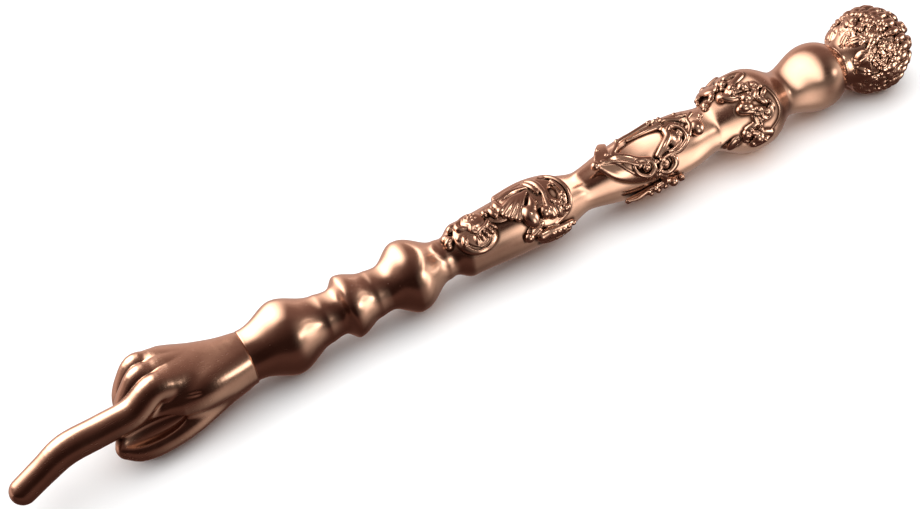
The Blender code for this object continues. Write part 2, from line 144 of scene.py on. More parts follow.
class Casting:
    """A solid as a grid of distances to its surface, below zero inside it.

    Shapes are laid on the shaft or, where a level is given, on a cylinder of that radius round its axis.
    """

    def __init__(self, low, high, cell, level=None):
        self.low, self.cell, self.level = np.array(low, float), cell, level
        shape = np.ceil((np.array(high) - self.low) / cell).astype(int) + 1
        self.axes = [self.low[axis] + cell * np.arange(shape[axis]) for axis in range(3)]
        self.field = np.full(shape, FAR, np.float32)

    def window(self, low, high):
        """The slices of the grid between two corners, and the coordinates in them."""
        slices = []
        for axis in range(3):
            first = int(np.floor((low[axis] - self.low[axis]) / self.cell))
            last = int(np.ceil((high[axis] - self.low[axis]) / self.cell)) + 1
            slices.append(slice(max(0, first), max(0, min(last, self.field.shape[axis]))))
        x, y, z = (axis[part] for axis, part in zip(self.axes, slices))
        return tuple(slices), (x[:, None, None], y[None, :, None], z[None, None, :])

    def join(self, part, distance, blend):
        self.field[part] = smooth_least(self.field[part], distance.astype(np.float32), blend)

    def carve(self, part, distance, blend):
        self.field[part] = -smooth_least(-self.field[part], distance.astype(np.float32), blend)

    def keep(self, distance, blend=0.1):
        """Keeps only what is inside this other field, given over the whole grid."""
        self.field = -smooth_least(-self.field, -distance.astype(np.float32), blend)

    def whole(self):
        return self.axes[0][:, None, None], self.axes[1][None, :, None], self.axes[2][None, None, :]

    def ellipsoid(self, centre, axes, sizes, blend=0.3, cut=False):
        """axes are the unit directions of the three half sizes."""
        reach = max(sizes) + BLENDS_BEYOND * blend
        centre = np.array(centre, float)
        part, (x, y, z) = self.window(centre - reach, centre + reach)
        if self.field[part].size == 0:
            return
        x, y, z = x - centre[0], y - centre[1], z - centre[2]
        near, far = 0.0, 0.0
        for direction, size in zip(axes, sizes):
            along = x * direction[0] + y * direction[1] + z * direction[2]
            near = near + (along / size) ** 2
            far = far + (along / size**2) ** 2
        near = np.sqrt(near)
        distance = near * (near - 1) / np.maximum(np.sqrt(far), 1e-6)
        (self.carve if cut else self.join)(part, distance, blend)

    def tube(self, points, radii, blend=0.3, cut=False):
        """A round bar along these points."""
        points, radii = np.array(points, float), np.array(radii, float)
        reach = radii.max() + BLENDS_BEYOND * blend + MORE_BEYOND
        part, (x, y, z) = self.window(points.min(0) - reach, points.max(0) + reach)
        corner = [piece.start for piece in part]
        near = np.full([piece.stop - piece.start for piece in part], FAR, np.float32)
        if near.size == 0:
            return
        for start, end, first, last in zip(points, points[1:], radii, radii[1:]):
            around = max(first, last) + BLENDS_BEYOND * blend + MORE_BEYOND
            least, most = np.minimum(start, end) - around, np.maximum(start, end) + around
            small, (x, y, z) = self.window(least, most)
            inner = tuple(slice(side.start - edge, side.stop - edge) for side, edge in zip(small, corner))
            line = end - start
            length = max(1e-9, float(line @ line))
            x, y, z = x - start[0], y - start[1], z - start[2]
            share = np.clip((x * line[0] + y * line[1] + z * line[2]) / length, 0, 1)
            x, y, z = x - share * line[0], y - share * line[1], z - share * line[2]
            distance = np.sqrt(x * x + y * y + z * z) - (first + (last - first) * share)
            near[inner] = np.minimum(near[inner], distance)
        (self.carve if cut else self.join)(part, near, blend)

    # Shapes laid on the surface, at (place, angle, height above it)

    def base(self, place):
        return shaft_radius(place) if self.level is None else self.level

    def lie(self, place, angle, height, spin=0.0):
        """The centre and the three directions of a frame there: along the shaft, round it and outwards."""
        radius = self.base(place) + height
        turn = radians(FACE + angle)
        out = np.array((0.0, sin(turn), cos(turn)))
        around = np.array((0.0, cos(turn), -sin(turn)))
        along = np.array((1.0, 0.0, 0.0))
        return along * place + out * radius, (*twisted(along, around, spin), out)

    def shift(self, place, angle, reach, turn):
        """The (place, angle) that is this far away over the surface, in a direction given in degrees."""
        around = reach * sin(radians(turn)) / self.base(place)
        return place + reach * cos(radians(turn)), angle + degrees(around)

    def pad(self, place, angle, height, sizes, spin=0.0, blend=0.3, cut=False):
        """A lump: half sizes along, round and outwards."""
        centre, directions = self.lie(place, angle, height, spin)
        self.ellipsoid(centre, directions, sizes, blend, cut)

    def bead(self, place, angle, height, size, blend=0.1):
        self.pad(place, angle, height, (size, size, size), 0.0, blend)

    def cup(self, place, angle, height, sizes, spin=0.0, blend=0.12):
        """A petal: a lump hollowed from above, so that it has a rim."""
        self.pad(place, angle, height, sizes, spin, blend)
        hollow = (sizes[0] * 0.62, sizes[1] * 0.55, sizes[2] * 0.6)
        self.pad(place, angle, height + sizes[2] * 0.85, hollow, spin, 0.08, True)

    def stalk(self, knots, blend=0.3, cut=False, steps=6):
        """A bar through (place, angle, height, thickness) knots."""
        rows = smooth_curve(knots, steps)
        points = [self.lie(place, angle, height)[0] for place, angle, height, _ in rows]
        self.tube(points, rows[:, 3], blend, cut)

    def stalks(self, *bars):
        """Bars one after another, each given as its blend and then its knots."""
        for blend, *knots in bars:
            self.stalk(knots, blend)

    def beads(self, *spots, blend=0.06):
        """Beads one after another at (place, angle, height, size)."""
        for spot in spots:
            self.bead(*spot, blend)

    def strips(self, first, second, count, blend=0.15):
        """Bars side by side from one row of knots to another, such as the ribs of a leaf."""
        first, second = np.array(first, float), np.array(second, float)
        for index in range(count):
            share = index / (count - 1)
            self.stalk(first + (second - first) * share, blend, False, 4)

    def leaf(self, place, angle, height, sizes, spin=0.0, veins=3, blend=0.15):
        """A leaf with a groove along its middle and slanting veins, pointed by a narrow end."""
        length, width, rise = sizes
        self.pad(place, angle, height, sizes, spin, blend)
        point = self.shift(place, angle, length * 0.8, spin)
        self.pad(*point, height, (length * 0.45, width * 0.45, rise * 0.8), spin)
        top = height + rise * 0.95
        middle = []
        for share in (-0.8, -0.3, 0.3, 0.9):
            spot = self.shift(place, angle, length * share, spin)
            middle.append((*spot, top - rise * 0.35 * share**2, 0.16))
        self.stalk(middle, 0.08, True, 3)
        for index in range(veins):
            share = -0.6 + 1.1 * index / max(1, veins - 1)
            root = self.shift(place, angle, length * share, spin)
            for side in (-1, 1):
                end = self.shift(*root, width * 0.85, spin + side * 52)
                self.stalk(((*root, top, 0.12), (*end, top - rise * 0.45, 0.13)), 0.06, True, 2)

    def scroll(self, place, angle, height, radius, turns, start, thickness, hand=1):
        """A volute that winds inwards from a start angle, with an eye in the middle."""
        blend, lift = 0.08, 0.3
        steps = round(14 * turns) + 2
        knots = []
        for index in range(steps + 1):
            share = index / steps
            turn = start + hand * 360 * turns * share
            reach = radius * (1 - 0.8 * share)
            size = thickness * (1 - 0.35 * share)
            knots.append((*self.shift(place, angle, reach, turn), height + lift * share, size))
        self.stalk(knots, blend, False, 2)
        self.bead(place, angle, height + lift, thickness * 1.05, blend)

    def rosette(self, place, angle, height, radius, petals):
        """A ring of small beads round a larger one, on a low mound."""
        self.pad(place, angle, height - 0.35, (radius, radius, 0.7), 0.0, 0.15)
        size = radius * sin(pi / petals) * 0.82
        for index in range(petals):
            spot = self.shift(place, angle, radius * 0.95, 360 * index / petals)
            self.bead(*spot, height - 0.05, size, 0.05)
        self.bead(place, angle, height + 0.1, radius * 0.42, 0.05)


# The corners of a grid cell
CORNERS = [np.array((corner & 1, corner >> 1 & 1, corner >> 2 & 1)) for corner in range(8)]


def sample(casting, points):
    """The field's value at any points, from the eight grid corners round each."""
    where = (points - casting.low) / casting.cell
    base = np.clip(np.floor(where).astype(int), 0, np.array(casting.field.shape) - 2)
    share = np.clip(where - base, 0, 1)
    value = 0.0
    for corner in CORNERS:
        weight = np.prod(np.where(corner, share, 1 - share), axis=1)
        value = value + weight * casting.field[tuple((base + corner).T)]
    return value


def slope(casting, points):
    """The field's direction of growth at any points, as unit vectors."""
    step = casting.cell
    parts = []
    for axis in range(3):
        move = np.zeros(3)
        move[axis] = step
        parts.append(sample(casting, points + move) - sample(casting, points - move))
    grown = np.stack(parts, 1)
    return grown / np.maximum(np.linalg.norm(grown, axis=1, keepdims=True), 1e-9)


def skin(casting):
    """(points, quads) of the field's zero surface: one point in each cell that it passes through."""
    field = casting.field
    inside = field < 0
    count = np.zeros([size - 1 for size in field.shape], np.int8)
    ends = (slice(None, -1), slice(1, None))
    for corner in CORNERS:
        count += inside[tuple(ends[step] for step in corner)]
    cells = np.argwhere((count > 0) & (count < 8))
    numbers = np.full(count.shape, -1, np.int64)
    numbers[tuple(cells.T)] = np.arange(len(cells))
    # Each cell's point is the middle of where its edges are crossed
    total, crossings = np.zeros((len(cells), 3)), np.zeros(len(cells))
    for first in CORNERS:
        for axis in range(3):
            if first[axis]:
                continue
            second = first + (np.arange(3) == axis)
            start = field[tuple((cells + first).T)].astype(float)
            end = field[tuple((cells + second).T)].astype(float)
            crosses = (start < 0) != (end < 0)
            share = np.where(crosses, start / np.where(crosses, start - end, 1), 0)
            total += np.where(crosses[:, None], first + share[:, None] * (second - first), 0)
            crossings += crosses
    points = casting.low + casting.cell * (cells + total / crossings[:, None])
    # Each crossed edge of the grid gives a quad between the four cells round it
    quads = []
    for axis in range(3):
        one, two = (axis + 1) % 3, (axis + 2) % 3
        lower, upper = [slice(None)] * 3, [slice(None)] * 3
        lower[axis], upper[axis] = ends
        edges = np.argwhere(inside[tuple(lower)] != inside[tuple(upper)])
        for side in (one, two):
            edges = edges[(edges[:, side] > 0) & (edges[:, side] < count.shape[side])]
        ring = []
        for back_one, back_two in ((1, 1), (0, 1), (0, 0), (1, 0)):
            cell = edges.copy()
            cell[:, one] -= back_one
            cell[:, two] -= back_two
            ring.append(numbers[tuple(cell.T)])
        ring = np.stack(ring, 1)
        quads.append(np.where(inside[tuple(edges.T)][:, None], ring, ring[:, ::-1]))
    quads = np.concatenate(quads)
    return points, quads[(quads >= 0).all(1)]


SETTLING_ROUNDS = 2


def settled(casting, points, quads):
    """The points spread more evenly: each moves half way to its neighbours, then back onto the surface."""
    ends = np.concatenate([quads[:, [0, 1]], quads[:, [1, 2]], quads[:, [2, 3]], quads[:, [3, 0]]])
    near = np.zeros((len(points), 1))
    np.add.at(near, ends[:, 0], 1)
    for _ in range(SETTLING_ROUNDS):
        total = np.zeros_like(points)
        np.add.at(total, ends[:, 0], points[ends[:, 1]])
        points = points + 0.5 * (total / np.maximum(near, 1) - points)
        points = points - sample(casting, points)[:, None] * slope(casting, points)
    return points


# How far out from the surface recesses are felt for
FEELERS = (0.35, 0.8, 1.6)


def crowding(casting, points, normals):
    """How hemmed in each point is by the field's own surface: 0 in the open, 1 in a deep recess."""
    total = 0.0
    for reach in FEELERS:
        total = total + np.clip(1 - sample(casting, points + normals * reach) / reach, 0, 1)
    return total / len(FEELERS)


# Objects --------------------------------------------------


def linked(name, data):
    """A new object in the scene."""
    obj = bpy.data.objects.new(name, data)
    bpy.context.scene.collection.objects.link(obj)
    return obj


def placed(name, points, faces, material, node, recess):
    """A finished piece: it goes where the CAD node is, rides on the body and stands for the node."""
    world = np.array((JOINT_X, AXIS_Y, AXIS_Z)) + np.asarray(points) * MM
    mesh = bpy.data.meshes.new(name)
    mesh.from_pydata(world.tolist(), [], faces)
    mesh.materials.append(material)
    mesh.shade_smooth()
    # The recess attribute carries painted shade: how far the material darkens the base colour at each point
    painted_shade_attribute = mesh.attributes.new("recess", "FLOAT", "POINT")
    painted_shade_attribute.data.foreach_set("value", np.asarray(recess, np.float32))
    mesh.update()
    obj = linked(name, mesh)
    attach(obj, "root")
    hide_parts(node)
    return obj


def cast_piece(name, casting, material, node, turn=None, under=False):
    """The casting as a finished piece, with painted shade where it is hemmed in. under adds more painted
    shade where its surface faces the shaft.
    """
    points, quads = skin(casting)
    points = settled(casting, points, quads)
    normals = slope(casting, points)
    # Painted shade: darker where the surface is hemmed in by its own folds
    recess = crowding(casting, points, normals)
    # Painted shade on the faces turned towards the shaft, standing in for shade and dimmed reflections
    # under the ornament
    if under:
        out = points * (0, 1, 1)
        out = out / np.maximum(np.linalg.norm(out, axis=1, keepdims=True), 1e-9)
        facing_in = -(normals * out).sum(1)
        recess = recess + np.clip(facing_in - 0.1, 0, 0.7)
    if turn is not None:
        points = points @ np.array(turn.to_3x3()).T
    return placed(name, points, quads.tolist(), material, node, recess)


# Materials ------------------------------------------------

DEEP_COPPER = (0.56, 0.36, 0.275)
PALE_COPPER = (0.65, 0.427, 0.33)
# Dark colour mixed into the base colour, for painted shade in recesses and for random stains
SHADE_AND_STAIN_COLOUR = (0.075, 0.036, 0.024, 1)
BLACK = (0, 0, 0)
FULL = (1, 1, 1)
# The metal of the shaft, the hand and the relief: its roughness where it is smoothest and where it is
# cloudiest, what scratches add to that, and how strong its bumps are
METALS = {
    "turned": (0.16, 0.22, 0.08, 0.16),
    "hand": (0.17, 0.25, 0.09, 0.2),
    "cast": (0.15, 0.22, 0.08, 0.2),
}
BUMP_DEPTH = 0.02 * MM


class Nodes:
    """Short names for adding and joining a material's nodes."""

    def __init__(self, tree):
        self.tree = tree

    def feed(self, socket, value):
        """Joins a node's output to this socket, or sets the socket's own value."""
        if isinstance(value, bpy.types.NodeSocket):
            self.tree.links.new(value, socket)
        else:
            socket.default_value = value

    def add(self, kind, inputs=None, **settings):
        node = self.tree.nodes.new("ShaderNode" + kind)
        for key, value in settings.items():
            setattr(node, key, value)
        for key, value in (inputs or {}).items():
            self.feed(node.inputs[key], value)
        return node

    def maths(self, operation, *values, clamp=False):
        return self.add("Math", dict(enumerate(values)), operation=operation, use_clamp=clamp).outputs[0]

    def plus(self, first, second):
        return self.maths("ADD", first, second)

    def minus(self, first, second):
        return self.maths("SUBTRACT", first, second)

    def times(self, first, second):
        return self.maths("MULTIPLY", first, second)

    def divide(self, first, second):
        return self.maths("DIVIDE", first, second)

    def ramp(self, value, stops):
        node = self.add("ValToRGB", {0: value})
        elements = node.color_ramp.elements
        while len(elements) < len(stops):
            elements.new(0.5)
        for element, (position, colour) in zip(elements, stops):
            element.position = position
            element.color = (*colour, 1.0)
        return node.outputs[0]

    def noise(self, vector, scale, detail, roughness, distortion=0.0):
        inputs = {"Vector": vector, "Scale": scale, "Detail": detail, "Roughness": roughness}
        return self.add("TexNoise", {**inputs, "Distortion": distortion}).outputs["Fac"]

    def stretched(self, vector, scale, turn):
        return self.add("Mapping", {"Vector": vector, "Scale": scale, "Rotation": turn}).outputs[0]

    def mix(self, share, first, second):
        return self.add("Mix", {0: share, 6: first, 7: second}, data_type="RGBA").outputs[2]


def polished_metal(kind):
    """Copper-toned metal: cloudy polish, fine scratches, small pits, random stains, and painted shade that
    darkens the base colour in the recesses.
    """
    smoothest, cloudiest, scratch_roughness, bump_strength = METALS[kind]
    material = bpy.data.materials.new("polished_metal_" + kind)
    material.use_nodes = True
    tree = material.node_tree
    surface = tree.nodes["Principled BSDF"]
    surface.inputs["Metallic"].default_value = 1.0
    nodes = Nodes(tree)
    place = nodes.add("NewGeometry").outputs["Position"]
    recess = nodes.add("Attribute", attribute_name="recess", attribute_type="GEOMETRY").outputs["Fac"]
    clouds = nodes.noise(place, 180.0, 4.0, 0.6)
    stains = nodes.noise(place, 420.0, 5.0, 0.65, 0.6)
    specks = nodes.noise(place, 2600.0, 2.0, 0.5)
    scratches, crossing = (
        nodes.noise(nodes.stretched(place, scale, turn), 1.0, 2.0, 0.6)
        for scale, turn in (((260, 3800, 3800), (0, 0, 0.35)), ((3400, 420, 900), (0.2, 0.1, -0.6)))
    )

    # Painted shade in the recesses, with random stains added: this mask darkens the base colour towards the
    # dark colour
    shade_and_stains = nodes.plus(recess, nodes.times(nodes.minus(stains, 0.5), 0.35))
    shade_and_stains = nodes.ramp(shade_and_stains, ((0.26, BLACK), (0.75, FULL)))
    colour = nodes.ramp(clouds, ((0.3, DEEP_COPPER), (0.7, PALE_COPPER)))
    colour = nodes.mix(shade_and_stains, colour, SHADE_AND_STAIN_COLOUR)
    nodes.feed(surface.inputs["Base Color"], colour)

    cloudy = nodes.ramp(clouds, ((0.32, (smoothest,) * 3), (0.72, (cloudiest,) * 3)))
    lines = nodes.ramp(scratches, ((0.55, BLACK), (0.75, FULL)))
    rough = nodes.plus(cloudy, nodes.times(lines, scratch_roughness))
    rough = nodes.maths("ADD", rough, nodes.times(shade_and_stains, 0.25), clamp=True)
    nodes.feed(surface.inputs["Roughness"], rough)

    height = nodes.times(scratches, 0.35)
    for layer, share in ((crossing, 0.2), (specks, 0.25), (stains, 0.5)):
        height = nodes.plus(height, nodes.times(layer, share))
    bump = nodes.add("Bump", {"Strength": bump_strength, "Distance": BUMP_DEPTH, "Height": height})
    nodes.feed(surface.inputs["Normal"], bump.outputs[0])
    return material


# Hand -----------------------------------------------------

# How far the whole hand is rolled about the shaft's axis once it is shaped
HAND_ROLL = -12.0
# Fingers and flesh: how softly each merges, then a bar through (x, y, z, radius)
FINGERS = (
    # Heel of the hand
    (0.5, (1.5, -1, 0, 3.5), (0, -1.6, 0.1, 3.5), (-4, -3.1, 0.45, 3.65), (-8, -4.3, 1, 3.65),
        (-10.5, -4.5, 1.1, 3.55), (-13.5, -4.2, 1.1, 3.3)),
    # Web between thumb and index
    (2, (-6, -2.6, -0.8, 3), (-10.5, -3.8, -0.5, 2.8), (-13.9, -4, 0, 2.5), (-16.5, -4, 0.7, 2.2),
        (-20, -3.9, 1.2, 1.9), (-24.5, -3.8, 1, 1.6)),
    # Floor of the hollow between them
    (1, (-12.5, -3.6, -1.5, 2.5), (-17, -3.3, -2, 2.3), (-21, -3.3, -2.1, 2.2), (-25, -3, -1.9, 1.9)),
    # Thumb
    (1, (-4.1, -1.5, -1.8, 3.2), (-8.6, -3, -3.1, 2.9), (-13.6, -4.3, -4.1, 2.7),
        (-18.6, -4.7, -4.8, 2.5), (-23.2, -4.5, -4.7, 2.5), (-25.7, -4.1, -3.5, 2.2)),
    # Index
    (0.9, (-3, -1, 0.3, 3.6), (-9, -2.6, 1.7, 3.2), (-14, -3.8, 4.1, 2.8), (-17.6, -4.3, 5.2, 2.7),
        (-22.4, -4.3, 2.8, 2.85), (-28.5, -4.2, 2.3, 2.85), (-35, -4.2, 2, 2.85),
        (-39.8, -4.2, 0.2, 2.6), (-44.5, -4.2, -1.8, 2.5)),
    # Middle finger
    (0.15, (-11, -0.3, 2, 2), (-15, -0.4, 4.7, 2.3), (-18.4, -0.5, 6.2, 2.45),
        (-20.9, -0.5, 4.4, 2.35), (-23.1, -0.5, 1.5, 2.3), (-23.7, -0.5, -2, 2.2),
        (-22.2, -0.4, -6.5, 2.2), (-18, -0.3, -7.4, 2.1)),
    # Ring finger
    (0.15, (-11, 2, 2, 2), (-15, 2.8, 4.8, 2.3), (-18.1, 3.2, 6.4, 2.45), (-20.6, 3.3, 4.4, 2.35),
        (-22.5, 3.3, 1.4, 2.25), (-22.7, 3.3, -2.2, 2.15), (-21, 3.2, -5.6, 2.1), (-17.2, 3, -6.6, 2)),
    # Little finger
    (0.15, (-10, 4, 1.6, 1.8), (-15, 6.4, 3.7, 2.1), (-18.4, 6.8, 2.4, 2), (-20.3, 6.7, 0.2, 1.95),
        (-20.2, 6.6, -2.4, 1.85), (-18.6, 6.5, -5.2, 1.85), (-15.2, 6.2, -5.9, 1.8)),
)
# The palm's sections: x, middle y and z, half width, half thickness and how square the section is
PALM = (
    (1.5, 0, 0, 4.6, 4.6, 2), (0, 0, 0, 4.95, 4.95, 2), (-3.6, 0.2, 0.1, 5.5, 5.25, 2.1),
    (-7.6, 0.8, 0.6, 6, 5.5, 2.2), (-12.6, 1.5, 1.3, 6.4, 6.1, 2.3), (-16.5, 1.7, 1.6, 6.2, 6, 2.4),
    (-20.5, 1.6, 0, 4.2, 4.4, 2.4),
)
# Towards the viewer, before the hand is rolled
SEEN_FROM = np.array((0.0, -0.839, 0.545))


def seen_axes(lean):
    """The directions along the hand, leaning up by this slope, across that, and towards the viewer."""
    along = np.array((1.0, lean * SEEN_FROM[2], -lean * SEEN_FROM[1])) / hypot(1, lean)
    return along, np.cross(SEEN_FROM, along), SEEN_FROM


def palm_field(casting):
    """The palm and wrist: sections between an ellipse and a rounded box, blended along x."""
    x, y, z = casting.whole()
    rows = smooth_curve(PALM)[::-1]
    along = casting.axes[0]
    mid_y, mid_z, wide, thick, square = (
        np.interp(along, rows[:, 0], rows[:, column])[:, None, None] for column in range(1, 6)
    )
    reach = (np.abs(y - mid_y) / wide) ** square + (np.abs(z - mid_z) / thick) ** square
    distance = (np.maximum(reach, 1e-9) ** (1 / square) - 1) * np.minimum(wide, thick)
    return np.maximum(distance, rows[0, 0] - x)


def hand_casting(cell):
    low, high = (-48.5, -9.5, -11.5), (0.6, 10.5, 10.5)
    casting, fingers = Casting(low, high, cell), Casting(low, high, cell)
    for blend, *knots in FINGERS:
        rows = smooth_curve(knots)
        fingers.tube(rows[:, :3], rows[:, 3], blend)
    x, y, z = casting.whole()
    palm = palm_field(casting).astype(np.float32)
    # The fingers merge with the palm softly near the wrist and crisply from the knuckles on
    merged = 0.25 + 2.4 * np.clip((x + 18.0) / 4.5, 0, 1)
    casting.field = smooth_least(palm, fingers.field, merged).astype(np.float32)
    # The small dent in the web, and the shaded hollow between index and thumb
    casting.ellipsoid((-12.0, -7.9, 2.75), seen_axes(-0.24), (1.9, 0.45, 0.7), 0.35, True)
    casting.ellipsoid((-20.6, -6.05, -1.45), seen_axes(0.0), (6.3, 2.0, 1.7), 0.35, True)
    roll = radians(HAND_ROLL)
    upright = y * sin(roll) + z * cos(roll)
    # Flat where it rests on the table, and where it meets the shaft
    casting.keep(np.maximum(-REST_DEPTH - upright, x + SEAM) + 0 * y, 0.08)
    return casting


# Ornaments ------------------------------------------------

# The cartouche stands off the shaft: it is laid on a cylinder of this radius
CARTOUCHE_RADIUS = 7.0
FLOWER = (47.9, 18.5)
SEED_HEAD = (48.4, 36.0)
SEED_MIDDLE = (48.3, 41.0)
GOLDEN_ANGLE = 137.5


def keep_off_shaft(casting, depth=0.35):
    """Cuts away what lies deeper in the shaft than this."""
    x, y, z = casting.whole()
    casting.keep(shaft_radius(x) - depth - np.sqrt(y * y + z * z), 0.05)


def flower(casting):
    """A bloom in a smooth bowl, with a stippled seed head above it and lobes that curl to the left."""
    casting.pad(*FLOWER, -0.5, (4.3, 4.3, 1.45))
    groove = [(*casting.shift(*FLOWER, 2.95, turn), 0.95, 0.3) for turn in range(-170, 36, 15)]
    casting.stalk(groove, 0.12, True)
    lobes = (
        (43.1, 33, 0.35, (1.35, 0.8, 0.95), 205), (43, 46, 0.2, (1.1, 0.9, 0.8), 150),
        (42.6, 23, 0.1, (0.85, 0.7, 0.7), 20), (44.6, 54, 0.3, (1.25, 0.85, 0.85), 20),
        (45.1, 11, 0.5, (1.1, 0.55, 0.75), 250), (44.9, 22, 0.3, (1, 0.9, 0.6), 0),
    )
    for curl in lobes:
        casting.pad(*curl, 0.08)
    left_rim = ((46.5, 51, 0.7, 0.5), (45.5, 46, 0.8, 0.62), (45.3, 37, 0.8, 0.7), (46.5, 30.5, 0.8, 0.55))
    casting.stalk(left_rim, 0.06)
    petals = ((47.1, -3, 262), (48.4, -0.5, 272), (49.5, 1, 280), (50.5, 4, 292), (51.4, 9, 310))
    for place, angle, turn in petals:
        casting.pad(*casting.shift(place, angle, -0.55, turn), 0.75, (1.15, 0.5, 0.75), turn, 0.05)
    casting.pad(*SEED_HEAD, 0.5, (2.45, 2.3, 1.25), 0.0, 0.06)
    casting.stalks(
        (0.1, (46.9, 37, 1.3, 0.3), (47.5, 29, 1.5, 0.42), (47.2, 20, 1.3, 0.42), (48.4, 14, 0.9, 0.4)),
        (0.06, (47.8, 13, 1, 0.3), (48.7, 16, 1.25, 0.42), (49.8, 18, 1.25, 0.45), (50.8, 24, 1, 0.4)),
    )
    seeds, spread, size = 10, 1.15, 0.2
    for index in range(seeds):
        reach = spread * sqrt((index + 0.5) / seeds)
        height = 0.45 + 1.3 * sqrt(1 - (reach / 2.2) ** 2)
        casting.bead(*casting.shift(*SEED_MIDDLE, reach, GOLDEN_ANGLE * index), height, size, 0.04)


def trumpet(casting):
    """A trumpet-shaped bloom: ribs that widen from foot to mouth, with a dark slit along the top."""
    casting.pad(57, 34, 0, (3.4, 3, 1.3), 20)
    ribs = 4
    for index in range(ribs):
        share = index / (ribs - 1)
        place, angle = 53.9 + 2.4 * share**1.5, 29 - 24 * share
        middle = ((60.4 + place) / 2, (40 + angle) / 2 + 3, 1.1, 0.62)
        casting.stalk(((60.2, 40, 0.9, 0.4), middle, (place, angle, 0.75, 0.72)))
    casting.stalks(
        (0.15, (54.4, 53, 0.7, 0.6), (57.6, 55, 0.9, 0.7), (61, 50, 0.8, 0.5)),
        (0.25, (54.2, 54, 0.5, 0.65), (53.9, 42, 0.8, 0.8), (54.2, 30, 0.7, 0.75)),
    )
    casting.stalk(((55.6, 45.5, 1.3, 0.25), (57.6, 46, 1.35, 0.42), (59.8, 45, 1.3, 0.2)), 0.1, True)


def cob(casting):
    casting.stalk(((59.6, -43, 0.3, 1.25), (62, -42, 0.4, 0.95), (66.6, -50, 0.2, 0.6)), 0.15)
    kernels = 5
    for index in range(kernels):
        share = index / (kernels - 1)
        height, size = 0.85 - 0.3 * share, 0.72 - 0.16 * share
        casting.bead(61.9 + 4.9 * share, -44 - 7.5 * share, height, size, 0.05)


def fruit_garland(cell):
    casting = Casting((38.5, -10, -4), (70, 8, 10), cell)
    # Large ribbed leaf over the top, and a low one behind it
    near_edge = ((66.2, 62, 0.2, 0.5), (60.5, 56, 0.5, 0.8), (54.4, 53, 0.4, 0.7))
    far_edge = ((66, 78, 0.2, 0.5), (61, 90, 0.3, 0.8), (56, 92, 0, 0.7))
    casting.strips(near_edge, far_edge, 5, 0.2)
    casting.pad(61, 92, 0, (3.6, 2.4, 0.7))
    for place, angle, length, width in ((54.2, 36, 3.4, 2.6), (63, 25, 3.8, 3.6), (63, -10, 4, 2.6)):
        casting.pad(place, angle, -0.2, (length, width, 0.6))
    flower(casting)
    trumpet(casting)
    # Buds between the flower and the bloom
    casting.pad(51.1, 40, 0.8, (0.9, 0.62, 0.75), 96, 0.05)
    casting.pad(52.5, 33, 0.85, (1.45, 0.75, 0.85), 100, 0.05)
    # Pear and its leaf
    casting.leaf(58.4, -28, 0.1, (1.9, 1.3, 0.65), 20, 2)
    casting.stalks((0.06, (60.2, 24, 1.2, 0.5), (59.8, 16, 1.3, 0.8), (59.3, 9, 1.2, 1.1)))
    casting.pad(58.5, -1.5, 0.95, (2.35, 1.6, 1.75), 96, 0.35)
    # Ribbon, and the leaf edge that wraps the right end
    ribbon = (
        (61.2, 74, 0.5, 0.5), (62.3, 60, 0.8, 0.68), (62.9, 45, 0.9, 0.75), (63.2, 28, 0.9, 0.55),
        (62.9, 15, 0.8, 0.48), (62.7, 6, 0.8, 0.6), (62.8, -4, 0.8, 0.95), (62.9, -13, 0.6, 1.05),
    )
    casting.stalks(
        (0.08, *ribbon),
        (0.06, (60.6, 70, 0.6, 0.5), (61.4, 55, 0.95, 0.52), (61.9, 42, 1, 0.5), (62.2, 31, 0.8, 0.42)),
        (0.06, (64.1, 1, 0.6, 0.42), (64.4, -8, 0.7, 0.78), (64.4, -19, 0.4, 0.8)),
    )
    rim = (
        (65.8, 66, 0.4), (67.2, 44, 0.6), (67.9, 20, 0.6), (67.6, 0, 0.5), (66.2, -22, 0.3),
        (63.2, -33, 0.1),
    )
    casting.stalk([(*knot, 0.52) for knot in rim], 0.1)
    inner_rim = [(place - 1.1, angle * 0.96, height + 0.1, 0.36) for place, angle, height in rim[1:5]]
    casting.stalk(inner_rim, 0.08)
    berries = (
        (61.6, -5, 1.35), (64.1, 5.5, 0.62), (64.9, 0.9, 0.5), (66.5, 8.9, 0.6), (66.2, 2, 0.55),
        (65.9, -14, 0.85), (65.4, 34, 0.6), (64.4, 62, 0.6), (60.8, 18.5, 0.5),
    )
    casting.beads(*((place, angle, 0.5, size) for place, angle, size in berries))
    casting.pad(65.1, 21, 0.4, (0.85, 1.7, 0.9), 0.0, 0.1, True)
    cob(casting)
    casting.beads((57, -34, 0.4, 1.05))
    casting.leaf(62.6, -66, 0, (3.4, 1.6, 0.6), -10, 3)
    keep_off_shaft(casting)
    return casting


